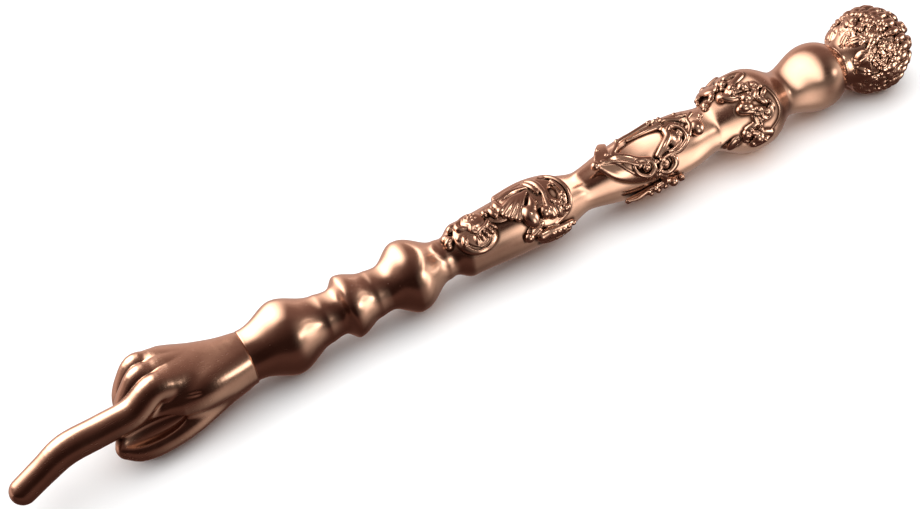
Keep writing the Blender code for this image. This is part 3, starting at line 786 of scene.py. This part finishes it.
def blade_and_frame(casting):
    """The left and upper sides: a blade from the tip to the volutes, a fin above the tip, and two bars."""
    ridge = (
        (75.9, 27, 0, 0.5), (79, 28, -0.1, 0.65), (81.2, 17, 0, 0.7), (83, 5, 0, 0.7), (85.2, -3, 0, 0.7),
    )
    edge = (
        (75.7, 21, -0.5, 0.5), (77.6, 0, -1.2, 0.7), (79.8, -17, -1.4, 0.75), (82.4, -29, -1.2, 0.8),
        (86, -36, -0.8, 0.8),
    )
    casting.strips(ridge, edge, 6, 0.5)
    vein = ((76.4, 26, 0.5, 0.3), (80.2, 10, 0.7, 0.36), (82.4, -2, 0.7, 0.36), (84.4, -6, 0.6, 0.3))
    casting.stalk(vein, 0.06)
    fin_left = ((75, 28, 0, 0.4), (76.8, 47, 0, 0.45), (78.8, 68, -0.2, 0.35))
    fin_right = ((76.8, 27, 0, 0.4), (78.4, 38, 0, 0.4), (79.7, 60, -0.2, 0.3))
    casting.strips(fin_left, fin_right, 4, 0.5)
    outer_bar = (
        (79, 30, 0.1, 0.5), (80.8, 40, 0.1, 0.5), (82.2, 49, 0.1, 0.45), (86.6, 54, 0.1, 0.5),
        (90.2, 58, 0.1, 0.6),
    )
    casting.stalk(outer_bar, 0.15)
    casting.stalk(((84, 50, -0.6, 0.35), (88, 50, -0.6, 0.6), (91.2, 45, -0.4, 0.8)), 0.2)


def looped_cord(casting):
    """The right side: a smooth band, and a leaf inside a cord that loops over it."""
    casting.stalk(((87.4, -4, -0.1, 0.7), (89.2, 6, 0.1, 0.85), (91, 17, 0.1, 0.85), (91.3, 29, 0, 0.75)))
    casting.pad(92.2, 8, -0.2, (1.6, 2.2, 0.7), 0.0, 0.2)
    casting.pad(93.2, 38, -0.4, (2.6, 1.6, 0.7))
    leaf_edge = (
        (89.6, -4, 0.4, 0.28), (90.4, -4.8, 0.5, 0.34), (91.6, -2.5, 0.5, 0.4), (92.6, 1.5, 0.5, 0.36),
        (93, 8, 0.4, 0.26),
    )
    cord = (
        (87.4, -11, 0.4, 0.36), (89.5, -9.5, 0.5, 0.42), (91.5, -10.5, 0.5, 0.58), (93, -6, 0.5, 0.66),
        (94.2, 1, 0.5, 0.56), (94.3, 12, 0.5, 0.48), (94, 20, 0.5, 0.5), (93.2, 27, 0.5, 0.56),
        (92.2, 29, 0.5, 0.5), (91.3, 25, 0.5, 0.4),
    )
    branch = (
        (94.7, 4, 0.5, 0.6), (95.6, 11, 0.5, 0.42), (96.2, 19, 0.4, 0.42), (96.4, 28, 0.3, 0.42),
        (97.9, 35, 0.2, 0.5),
    )
    casting.stalks(
        (0.05, *leaf_edge),
        (0.05, *cord),
        (0.06, *branch),
        (0.06, (90.6, 52, 0.2, 0.6), (93.2, 43, 0.3, 0.55), (95, 33, 0.35, 0.5)),
        (0.06, (92.4, 51, 0, 0.5), (95.2, 42, 0.1, 0.5), (97, 37, 0.1, 0.4)),
    )


def volutes(casting):
    """Two volutes at the bottom corner: each a crescent round a hollow, on a mound."""
    for place, angle, size in ((84.2, -14, 1.9), (88.3, -24, 2), (87.6, -38, 1.3)):
        casting.pad(place, angle, -0.35, (size, size, 0.7), 0.0, 0.2)
    ring = (
        (84, 1.5, 0.45, 0.28), (82.2, 3, 0.5, 0.32), (81.5, -6, 0.5, 0.36), (82.1, -17, 0.5, 0.45),
        (83.8, -25, 0.45, 0.6), (85.3, -19, 0.5, 0.62), (85.3, -8, 0.55, 0.45), (84.4, -1, 0.55, 0.3),
    )
    casting.stalk(ring, 0.06)
    casting.pad(83.4, -11.5, 0.35, (1.25, 1.3, 0.5), 0.0, 0.05, True)
    casting.beads((82.6, -5, 0.45, 0.62), (83.8, -12, 0.4, 0.85), blend=0.05)
    casting.stalks((0.08, (85.4, -22, 0.3, 0.5), (85.2, -30, 0.1, 0.5), (85.9, -38, -0.2, 0.35)))
    casting.pad(87.8, -20.5, 0.3, (1.3, 1.3, 0.5), 0.0, 0.05, True)
    casting.scroll(87.7, -20.5, 0.4, 1.0, 1.2, 200, 0.4, -1)
    arm = (
        (86.5, -22, 0.3, 0.3), (86.8, -29, 0.35, 0.42), (88.3, -34, 0.35, 0.62),
        (89.8, -27, 0.45, 0.78), (90.1, -18, 0.5, 0.72), (89.6, -13, 0.45, 0.4),
    )
    casting.stalk(arm, 0.06)
    casting.beads((86.3, -11, 0.5, 0.5), (86.1, -25, 0.5, 0.5), (87.4, -12, 0.5, 0.52), blend=0.05)


def cartouche(cell):
    casting = Casting((72.5, -10.5, -6), (101.5, 7, 10.5), cell, CARTOUCHE_RADIUS)
    blade_and_frame(casting)
    looped_cord(casting)
    volutes(casting)
    # Fine ridge down the blade, and the stem that joins the volutes to the row below
    casting.stalks(
        (0.06, (76, 24, 0.4, 0.26), (78.6, 15, 0.4, 0.3), (80.2, -2, 0.25, 0.3), (81.8, -18, 0.1, 0.26)),
        (0.15, (86.2, -32, 0, 0.6), (87.4, -40, 0, 0.7), (87.4, -50, -0.2, 0.6)),
    )
    # Boss and beads at the right end, and beads along the upper side
    casting.pad(97.3, 9, 0, (1.45, 1.65, 1.3), 0.0, 0.06)
    casting.beads(
        (74.9, 25.5, 0.1, 0.95), (99.2, 23.5, 0.2, 0.6), (98.4, 19.4, 0.3, 0.5), (95.1, 47.9, 0.2, 0.5),
        (96.3, 43, 0.1, 0.4), (89.7, 56, 0.4, 0.5), (90.9, 51.5, 0.5, 0.5), (91.9, 53.5, 0.4, 0.45),
        (91.9, 45, 0.6, 0.55), (93.2, 14.5, 0.35, 0.4), (93.4, 9, 0.35, 0.38), (81.8, 50, 0.3, 0.5),
        (78, 33, 0.45, 0.36), (77.4, 50, 0.3, 0.4),
    )
    # Beaded row under the shaft side of the frame
    row_stem = ((79.2, -65, -0.6, 0.55), (83, -63, -0.5, 0.7), (87, -56, -0.3, 0.7), (91, -66, -0.5, 0.6))
    casting.stalk(row_stem, 0.2)
    row = (
        (83.6, -60, 0.6), (85, -57, 0.75), (86.5, -59, 0.6), (84.4, -68, 0.55), (86, -67, 0.7),
        (87.6, -66, 0.6),
    )
    casting.beads(*((place, angle, 0, size) for place, angle, size in row), blend=0.08)
    casting.stalks((0.1, (79, -57, 0, 0.3), (81.2, -59, 0.2, 0.4), (83.4, -56, 0.1, 0.3)))
    casting.beads((89.3, -61, 0.25, 0.95), (91.2, -60, 0.1, 0.6), (91.8, -71, -0.3, 0.75))
    keep_off_shaft(casting)
    return casting


# The grape garland: a vine that swings between two places along the knop, and what lies on it
VINE_PLACE = 109.5
VINE_SWING = 2.4
VINE_PITCH = 34.5
VINE_CREST = 20.0
SWAGS = ((0.0, -60.0, 64.0), (146.0, -42.0, 42.0))
GRAPES = (
    (107.3, 63, 0.85), (107.7, 55, 0.85), (106.3, 58.5, 0.65), (105.7, 38.9, 1.15), (108.1, 38.5, 1.05),
    (107.6, 31.5, 0.8), (109.7, 31, 1.05), (112.9, 20, 0.5), (108.9, 14.2, 1), (110, 17.5, 0.6),
    (107.6, -31, 0.75), (108.1, -26.5, 0.6), (109.5, -27, 0.65), (109.5, -34.5, 0.6),
    (106.8, -37.2, 1.1), (108.9, -46.8, 1.3), (107.9, -54.5, 1), (110.4, -53.5, 0.75),
    (106.6, -47, 0.8),
)
TAIL = ((103, 56, 0.85), (105, 57, 0.82), (105.9, 63.5, 0.65), (102.3, 47.5, 0.5), (107, 50, 0.6))
SCROLLS = ((111.8, 24.5, 1.15, 120, 1), (111.3, -15.5, 1.5, 30, -1), (109.9, -7.5, 0.85, 200, 1))
LOBES = (
    (108.2, 3.3, (1.5, 1.05, 0.95), -22), (111.1, 12.2, (1.25, 0.55, 0.85), 42),
    (112.6, 10.6, (1.35, 0.6, 0.8), 36), (113.2, -8, (1.3, 0.5, 0.7), -75),
    (111.6, 3, (1.5, 0.7, 0.6), -55),
)
EDGE = ((113.9, 16), (114.6, 4), (114.9, -8), (114.9, -20), (114.1, -32), (112.4, -41), (110.8, -47))


def vine_place(angle):
    """Where the vine is along the shaft at this angle: it swings to and fro as it goes round."""
    return VINE_PLACE + VINE_SWING * cos(2 * pi * (angle - VINE_CREST) / VINE_PITCH)


def swag(casting, turn, first, last):
    """The vine and what lies on it, from a first to a last angle, turned this far round the shaft."""
    count = round((last - first) / (VINE_PITCH / 6))
    angles = [first + (last - first) * index / count for index in range(count + 1)]
    casting.stalk([(vine_place(angle), turn + angle, -0.15, 0.8) for angle in angles])
    for place, angle, size in GRAPES:
        if first <= angle <= last:
            casting.bead(place, turn + angle, 0.15, size, 0.06)
            casting.bead(place, turn + angle, 0.15 + size, 0.14, 0.05)
    for place, angle, size in TAIL:
        casting.bead(place, turn + angle, 0.1, size, 0.06)
    casting.stalk([(place, turn + angle, 0.0, 0.5) for place, angle, _ in TAIL[:2]])
    for place, angle, radius, start, hand in SCROLLS:
        if first <= angle <= last:
            casting.pad(place, turn + angle, -0.2, (radius, radius, 0.6), 0.0, 0.1)
            casting.scroll(place, turn + angle, 0.35, radius, 1.3, start, 0.42, hand)
    for place, angle, sizes, spin in LOBES:
        casting.pad(place, turn + angle, 0.2, sizes, spin, 0.05)
    casting.leaf(107.0, turn + 27.5, -0.05, (2.4, 0.95, 0.8), -34, 2, 0.1)
    casting.leaf(109.3, turn - 20, -0.1, (1.9, 1.0, 0.7), 100, 2, 0.1)
    casting.leaf(105.0, turn + max(first, -53), -0.05, (2.2, 1.3, 0.75), 215, 2, 0.1)
    edge = [(place, turn + angle, 0.0, 0.22) for place, angle in EDGE if first <= angle <= last]
    casting.stalk(edge, 0.1)


def grape_garland(cell):
    casting = Casting((98.5, -11.0, -8.7), (116.5, 11.0, 10.8), cell)
    for angle in (76, 90, 103):
        casting.leaf(106.3, angle, -0.25, (2.4, 2.2, 0.95), 60, 2)
    for turn, first, last in SWAGS:
        swag(casting, turn, first, last)
    keep_off_shaft(casting)
    return casting


# Ball end -------------------------------------------------

BALL_PLACE = 143.35
BALL_RADIUS = 8.35
GROUND_DEPTH = 0.25
NECK_START = SHAFT_END + 0.03
NECK_RADIUS = 4.4
NECK_FLARE = 2.9


class BallCasting(Casting):
    """A casting whose places are degrees from the far end of the ball, towards the neck."""

    def lie(self, place, angle, height, spin=0.0):
        tilt, turn = radians(place), radians(FACE + angle)
        out = np.array((cos(tilt), sin(tilt) * sin(turn), sin(tilt) * cos(turn)))
        down = np.array((-sin(tilt), cos(tilt) * sin(turn), cos(tilt) * cos(turn)))
        centre = np.array((BALL_PLACE, 0, 0)) + out * (BALL_RADIUS + height)
        return centre, (*twisted(down, np.cross(out, down), spin), out)

    def shift(self, place, angle, reach, turn):
        tilt = degrees(reach * cos(radians(turn)) / BALL_RADIUS)
        girth = max(1.5, BALL_RADIUS * sin(radians(place + tilt / 2)))
        return place + tilt, angle - degrees(reach * sin(radians(turn)) / girth)


# What lies on the ball, at (degrees from its far end, angle), repeated round it. Leaves have half sizes and
# a spin, rosettes a radius and a number of petals, beads and end lobes a size.
REPEATS = 3
BALL_LEAVES = (
    (138, 41, (2.2, 1.1, 0.75), 10), (128, 22, (2, 1.15, 0.85), -25), (131, -10, (2.1, 1.5, 0.75), 15),
    (138, -38, (2.1, 1.1, 0.7), -10), (122, 66, (1.9, 1, 0.7), 30), (112, -56, (2.2, 1.2, 0.7), 70),
)
BALL_ROSETTES = (
    (100, -11, 1.5, 7), (97, 38, 1.4, 6), (121, 44, 0.9, 5), (113, -28, 1, 5), (103, 74, 1.3, 6),
)
BALL_BEADS = (
    (110, 20, 0.55), (105, 14, 0.6), (99, 10, 0.5), (110, 8, 0.75), (116, 12, 0.5), (118, 2, 0.55),
    (92, 18, 0.6), (88, 8, 0.5), (90, 26, 0.45), (107, 27, 0.4), (84, -12, 0.6), (86, -22, 0.7),
    (94, -29, 0.6), (99, -38, 0.8), (106, -40, 0.65), (88, -36, 0.6), (90, -48, 0.75), (98, -52, 0.6),
    (117, -16, 0.5), (121, -20, 0.45), (86, 30, 0.7), (84, 44, 0.75), (92, 54, 0.7), (108, 56, 0.65),
    (114, 50, 0.4), (113, 34, 0.45), (87, 63, 0.6), (95, 62, 0.5),
)
END_LOBES = (
    (77, 37, 1), (75, 21, 1.2), (77, 8, 1.1), (70, -5, 1.1), (69, -19, 1.2), (77, -31, 1.25),
    (78, 52, 1.1), (76, 66, 1.1), (73, -44, 1),
)
# Rings of petals at the ball's far end: degrees from it, number, half length and half width
END_RINGS = ((52, 12, 1.6, 1.5), (31, 8, 1.5, 1.4), (14, 5, 1.1, 1.2))


def finial(cell):
    casting = BallCasting((134.2, -9.8, -9.2), (153.4, 9.8, 9.8), cell)
    x, y, z = casting.whole()
    radius = np.sqrt(y * y + z * z)
    ball = np.sqrt((x - BALL_PLACE) ** 2 + radius**2) - BALL_RADIUS + GROUND_DEPTH
    # The neck widens more and more towards the ball, and ends inside it
    share = np.clip((x - NECK_START) / NECK_FLARE, 0, 1.3)
    neck = radius - (NECK_RADIUS + 1.9 * share**1.6)
    neck = np.maximum(neck, x - (NECK_START + NECK_FLARE + 1.0))
    casting.field = smooth_least(ball, neck, 0.4).astype(np.float32)
    for repeat in range(REPEATS):
        turn = 360 / REPEATS * repeat
        for place, angle, sizes, spin in BALL_LEAVES:
            casting.leaf(place, turn + angle, 0.0, sizes, spin, 2, 0.08)
        for place, angle, size, petals in BALL_ROSETTES:
            casting.rosette(place, turn + angle, 0.2, size, petals)
        for place, angle, size in BALL_BEADS:
            sizes, uneven_spin = (size * 1.75, size * 1.3, 0.25 + size), 20 * sin(angle)
            casting.pad(place, turn + angle, -0.1, sizes, uneven_spin, 0.05)
        for place, angle, size in END_LOBES:
            casting.pad(place, turn + angle, 0.0, (1.7, size * 0.85, 0.95), 0.0, 0.06)
    for place, number, length, width in END_RINGS:
        for index in range(number):
            casting.cup(place, 360 * (index + 0.3) / number, -0.15, (length, width, 0.9), 0.0, 0.06)
    casting.rosette(0, 0, 0.0, 0.9, 7)
    casting.keep(np.maximum(-REST_DEPTH - z, NECK_START - x) + 0 * y, 0.1)
    return casting


# Shaft ----------------------------------------------------

# Rings along the shaft and points round it
FINE_SHAFT = (560, 160)


def stem_surface(rings, columns):
    """Points and quads of the turned shaft: a lip at the hand, rounded ends, uneven as hand work is."""
    places = np.interp(np.linspace(0, 1, rings), np.linspace(0, 1, len(PROFILE_PLACES)), PROFILE_PLACES)
    turn = np.linspace(0, 2 * pi, columns, endpoint=False)
    radii = shaft_radius(places)
    lip = 0.06 * np.exp(-(((places - 0.2) / 0.13) ** 2))
    edge = 0.05 * np.exp(-places / 0.03) + 0.12 * np.exp((places - SHAFT_END) / 0.05)
    uneven = 0.018 * np.sin(places / 3.1)[:, None] * np.sin(2 * turn + places[:, None] / 9)
    uneven = uneven + 0.012 * np.sin(3 * turn + places[:, None] / 5.3)
    radii = (radii + lip - edge)[:, None] + uneven
    points = np.stack([places[:, None] + 0 * radii, radii * np.sin(turn), radii * np.cos(turn)], 2)
    ring, column = np.meshgrid(np.arange(rings - 1), np.arange(columns), indexing="ij")
    after = (column + 1) % columns
    near, far = ring * columns, (ring + 1) * columns
    quads = np.stack([near + column, near + after, far + after, far + column], 2)
    return points.reshape(-1, 3), quads.reshape(-1, 4)[:, ::-1]


def stem_piece(material, castings):
    """The shaft, with painted shade where an ornament lies close and beside the ball end."""
    rings, columns = FINE_SHAFT
    points, quads = stem_surface(rings, columns)
    recess = np.zeros(len(points))
    # Painted shade on the shaft round each ornament, darker the closer it lies
    for casting in castings:
        low, high = casting.low, [axis[-1] for axis in casting.axes]
        near = ((points > low) & (points < high)).all(1)
        distance = sample(casting, points[near])
        recess[near] = np.maximum(recess[near], np.clip(0.95 - distance, 0, 0.85))
    # Painted shade where the shaft runs into the ball end; the two end centres are fully shaded
    recess = np.maximum(recess, 0.7 * np.exp((points[:, 0] - SHAFT_END) / 0.25))
    count = len(points)
    points = np.vstack([points, np.array([(0.0, 0, 0), (SHAFT_END, 0, 0)])])
    faces = quads.tolist()
    last = count - columns
    for column in range(columns):
        after = (column + 1) % columns
        faces.append((count, column, after))
        faces.append((count + 1, last + after, last + column))
    return placed("shaft", points, faces, material, "stem", np.append(recess, (1, 1)))


# Stage ----------------------------------------------------

# The viewer looks down at this many degrees, swings this far towards the hand and rolls the camera
VIEW_DOWN = radians(45)
CAMERA_SWING = radians(15)
CAMERA_ROLL = radians(26.307)
CAMERA_DISTANCE = 0.267
CAMERA_DROP = 0.00062
CAMERA_LENS = 54.78
CAMERA_SENSOR = 36.0
TOWARDS = Vector((0, -cos(VIEW_DOWN), sin(VIEW_DOWN)))
UPWARDS = Vector((0, sin(VIEW_DOWN), cos(VIEW_DOWN)))
ALONG = Vector((1, 0, 0))
AIM_PLACE = 44.75
AIM = Vector((JOINT_X + AIM_PLACE * MM, AXIS_Y, AXIS_Z))
# The lamps' colour as it falls on the pieces
WHITE = (0.833, 0.753, 0.66)
FLOOR_COLOUR = (0.86, 0.86, 0.86, 1)
FLOOR_REACH = 3.0


def add_camera():
    forward = ALONG * sin(CAMERA_SWING) - TOWARDS * cos(CAMERA_SWING)
    level = ALONG * cos(CAMERA_SWING) + TOWARDS * sin(CAMERA_SWING)
    place = AIM - forward * CAMERA_DISTANCE - UPWARDS * CAMERA_DROP
    right = level * cos(CAMERA_ROLL) - UPWARDS * sin(CAMERA_ROLL)
    up = level * sin(CAMERA_ROLL) + UPWARDS * cos(CAMERA_ROLL)
    data = bpy.data.cameras.new("camera")
    data.sensor_width = CAMERA_SENSOR
    data.lens = CAMERA_LENS
    data.clip_start = 0.005
    data.clip_end = 20.0
    obj = linked("camera", data)
    obj.matrix_world = Matrix.Translation(place) @ Matrix((right, up, -forward)).transposed().to_4x4()
    bpy.context.scene.camera = obj


def add_light(name, over, along, distance, size, radiance, target=AIM, only=None):
    """A rectangular lamp aimed at a point, in metres and degrees. It may light just some pieces."""
    away = Vector((
        sin(radians(along)),
        -cos(radians(along)) * cos(radians(over)),
        cos(radians(along)) * sin(radians(over)),
    ))
    data = bpy.data.lights.new(name, "AREA")
    data.shape = "RECTANGLE"
    data.size, data.size_y = size
    data.energy = radiance * pi * size[0] * size[1]
    obj = linked(name, data)
    obj.location = target + away * distance
    sideways = ALONG - away * ALONG.dot(away)
    sideways.normalize()
    obj.rotation_euler = Matrix((sideways, away.cross(sideways), away)).transposed().to_euler()
    obj.visible_camera = False
    if only:
        pieces = bpy.data.collections.new(name + "_lights")
        for piece in only:
            pieces.objects.link(piece)
        obj.light_linking.receiver_collection = pieces
    return obj


def add_panel(name, pieces, place, over, distance, length, spread, radiance, along):
    """A lamp that fades towards its edges and is seen only in these pieces' reflections."""
    size = (2 * length * MM, 2 * distance * MM * tan(radians(spread)))
    spot = Vector((JOINT_X + place * MM, AXIS_Y, AXIS_Z))
    obj = add_light(name, over, along, distance * MM, size, radiance, spot, pieces)
    obj.visible_diffuse = False
    data = obj.data
    data.color = WHITE
    data.use_nodes = True
    nodes = Nodes(data.node_tree)
    split = nodes.add("SeparateXYZ", {0: nodes.add("NewGeometry").outputs["Parametric"]})
    fall = 1.0
    for axis in ("X", "Y"):
        offset = nodes.minus(nodes.times(split.outputs[axis], 2.0), 1.0)
        side = nodes.maths("SUBTRACT", 1.0, nodes.times(offset, offset), clamp=True)
        fall = nodes.times(nodes.times(side, side), fall)
    nodes.feed(data.node_tree.nodes["Emission"].inputs["Strength"], fall)


def add_floor():
    mesh = bpy.data.meshes.new("floor")
    corners = [(x * FLOOR_REACH, y * FLOOR_REACH, 0) for x, y in ((-1, -1), (1, -1), (1, 1), (-1, 1))]
    mesh.from_pydata(corners, [], [(0, 1, 2, 3)])
    material = bpy.data.materials.new("floor")
    material.use_nodes = True
    surface = material.node_tree.nodes["Principled BSDF"]
    surface.inputs["Base Color"].default_value = FLOOR_COLOUR
    surface.inputs["Roughness"].default_value = 0.9
    mesh.materials.append(material)
    obj = linked("floor", mesh)
    obj.visible_glossy = False
    obj.visible_shadow = False


def lobe(nodes, over, along, centre, widths, strength, flat):
    """A soft-edged lamp in the surroundings: its middle and its half widths, in degrees over and along."""
    squares = []
    for angle, middle, width in ((over, centre[0], widths[0]), (along, centre[1], widths[1])):
        offset = nodes.divide(nodes.minus(angle, middle), width)
        squares.append(nodes.times(offset, offset))
    fall = nodes.maths("POWER", nodes.plus(*squares), flat)
    return nodes.times(nodes.maths("EXPONENT", nodes.times(fall, -1.0)), strength)


# Soft lamps in the surroundings: (degrees over, degrees along), half widths, strength and how flat the
# middle is. Over counts from the viewer's horizon, up over the object to the horizon behind it. Along
# counts towards the ball end.
LAMPS = (
    ((108, -30), (20, 32), 0.55, 1), ((18, 80), (50, 30), 1.7, 1), ((25, 47), (11, 10), 3.4, 1.5),
    ((-20, 42), (22, 15), 0.35, 1),
)
# The surroundings between the lamps: how bright they are at so many degrees over
SURROUNDINGS = (
    (-180, 0.80), (-150, 0.60), (-125, 0.25), (-105, 0.10), (-75, 0.07), (-50, 0.08), (-25, 0.11),
    (-10, 0.10), (-2, 0.04), (8, 0.025), (35, 0.03), (50, 0.06), (66, 0.10), (82, 0.12), (100, 0.20),
    (120, 0.25), (140, 0.32), (158, 0.52), (170, 0.72), (180, 0.80),
)
# The lamps that light just some pieces: name, pieces, place they face, degrees over, distance, half length,
# half spread in degrees, strength and degrees along
PANELS = (
    ("key_softbox", "relief", AIM_PLACE, 135, 600, 600, 38, 6.0, -36),
    ("hand_key", "hand", AIM_PLACE, 138, 600, 400, 36, 9.0, -23),
    ("wrist_softbox", "hand", 39, 30, 60, 12, 17, 6.0, 0),
    ("hand_fill", "hand", 12, -42, 60, 45, 42, 0.5, 0),
    ("glint_softbox", "relief", 70, 62, 350, 60, 9, 12.0, 14),
    ("side_softbox", "relief", 100, 12, 350, 130, 20, 8.0, 62),
    ("front_softbox", "relief", 86, 5, 200, 80, 22, 4.5, 0),
    ("relief_fill", "relief", 85, 35, 250, 300, 55, 0.42, 0),
    ("ball_softbox", "ball", 143, 20, 150, 45, 17, 11.0, -17),
    ("panel_1", "shaft", -25, 138, 100, 108, 52, 5.6, 0),
    ("panel_2", "shaft", 64, 22, 40, 16, 24, 1.6, 0),
    ("panel_3", "shaft", 88, 5, 40, 33, 36, 2.5, 0),
    ("panel_4", "shaft", 108, -22, 20, 24, 38, 2.7, 0),
    ("panel_5", "shaft", 101, 115, 40, 15, 60, 2.8, 0),
    ("panel_6", "shaft", 120, 95, 40, 25, 78, 4.0, 0),
    ("panel_7", "shaft", 96, -12, 40, 75, 56, 0.42, 0),
    ("panel_8", "shaft", 112, -75, 40, 80, 54, 0.5, 0),
)
# Lights the floor and the pieces' shadows from above: degrees over, along, distance, size and strength
CEILING = (90, 0, 1.2, (3.0, 2.4), 2.6)


def warmed(value):
    """The colour of surroundings this bright: dim ones are redder than bright ones."""
    share = min(1.0, sqrt(value / 0.6))
    return 1.04 * value, value * (0.39 + 0.36 * share), value * (0.29 + 0.35 * share)


def add_world():
    world = bpy.data.worlds.new("studio")
    bpy.context.scene.world = world
    world.use_nodes = True
    nodes = Nodes(world.node_tree)
    split = nodes.add("SeparateXYZ", {0: nodes.add("TexCoord").outputs["Generated"]})
    level = nodes.times(split.outputs["Y"], -1.0)
    over = nodes.times(nodes.maths("ARCTAN2", split.outputs["Z"], level), degrees(1))
    along = nodes.times(nodes.maths("ARCSINE", split.outputs["X"]), degrees(1))
    share = nodes.divide(nodes.plus(over, 180.0), 360.0)
    total = nodes.ramp(share, [((angle + 180) / 360, warmed(value)) for angle, value in SURROUNDINGS])
    for centre, widths, strength, flat in LAMPS:
        value = lobe(nodes, over, along, centre, widths, strength, flat)
        tinted = nodes.add("VectorMath", {0: WHITE, "Scale": value}, operation="SCALE").outputs[0]
        total = nodes.add("VectorMath", {0: total, 1: tinted}, operation="ADD").outputs[0]
    background = world.node_tree.nodes["Background"]
    nodes.feed(background.inputs["Color"], total)
    background.inputs["Strength"].default_value = 1.0
    world.cycles_visibility.diffuse = False


# Sizes of the castings' grid cells
CELLS = {"fruit_garland": 0.13, "cartouche": 0.12, "grape_garland": 0.12, "finial": 0.152, "hand": 0.182}


def add_pieces():
    """The six pieces, grouped by the lamps that light them."""
    turned, palm, cast = map(polished_metal, METALS)
    coarse = 1.0
    cells = {node: size * coarse for node, size in CELLS.items()}
    makers = {"fruit_garland": fruit_garland, "cartouche": cartouche, "grape_garland": grape_garland}
    ornaments = {node: make(cells[node]) for node, make in makers.items()}
    relief = []
    for node, casting in ornaments.items():
        relief.append(cast_piece("cast_" + node, casting, cast, node, None, True))
    ball = cast_piece("ball_end", finial(cells["finial"]), cast, "finial")
    roll = Matrix.Rotation(radians(HAND_ROLL), 4, "X")
    hand = cast_piece("cast_hand", hand_casting(cells["hand"]), palm, "hand", roll)
    shaft = stem_piece(turned, ornaments.values())
    return {"relief": [*relief, ball], "ball": [ball], "hand": [hand], "shaft": [shaft]}


def main():
    bpy.context.scene.view_settings.view_transform = "Standard"
    add_camera()
    add_world()
    add_floor()
    pieces = add_pieces()
    ceiling = add_light("ceiling_softbox", *CEILING)
    ceiling.visible_glossy = False
    for name, lit, *rest in PANELS:
        add_panel(name, pieces[lit], *rest)


main()
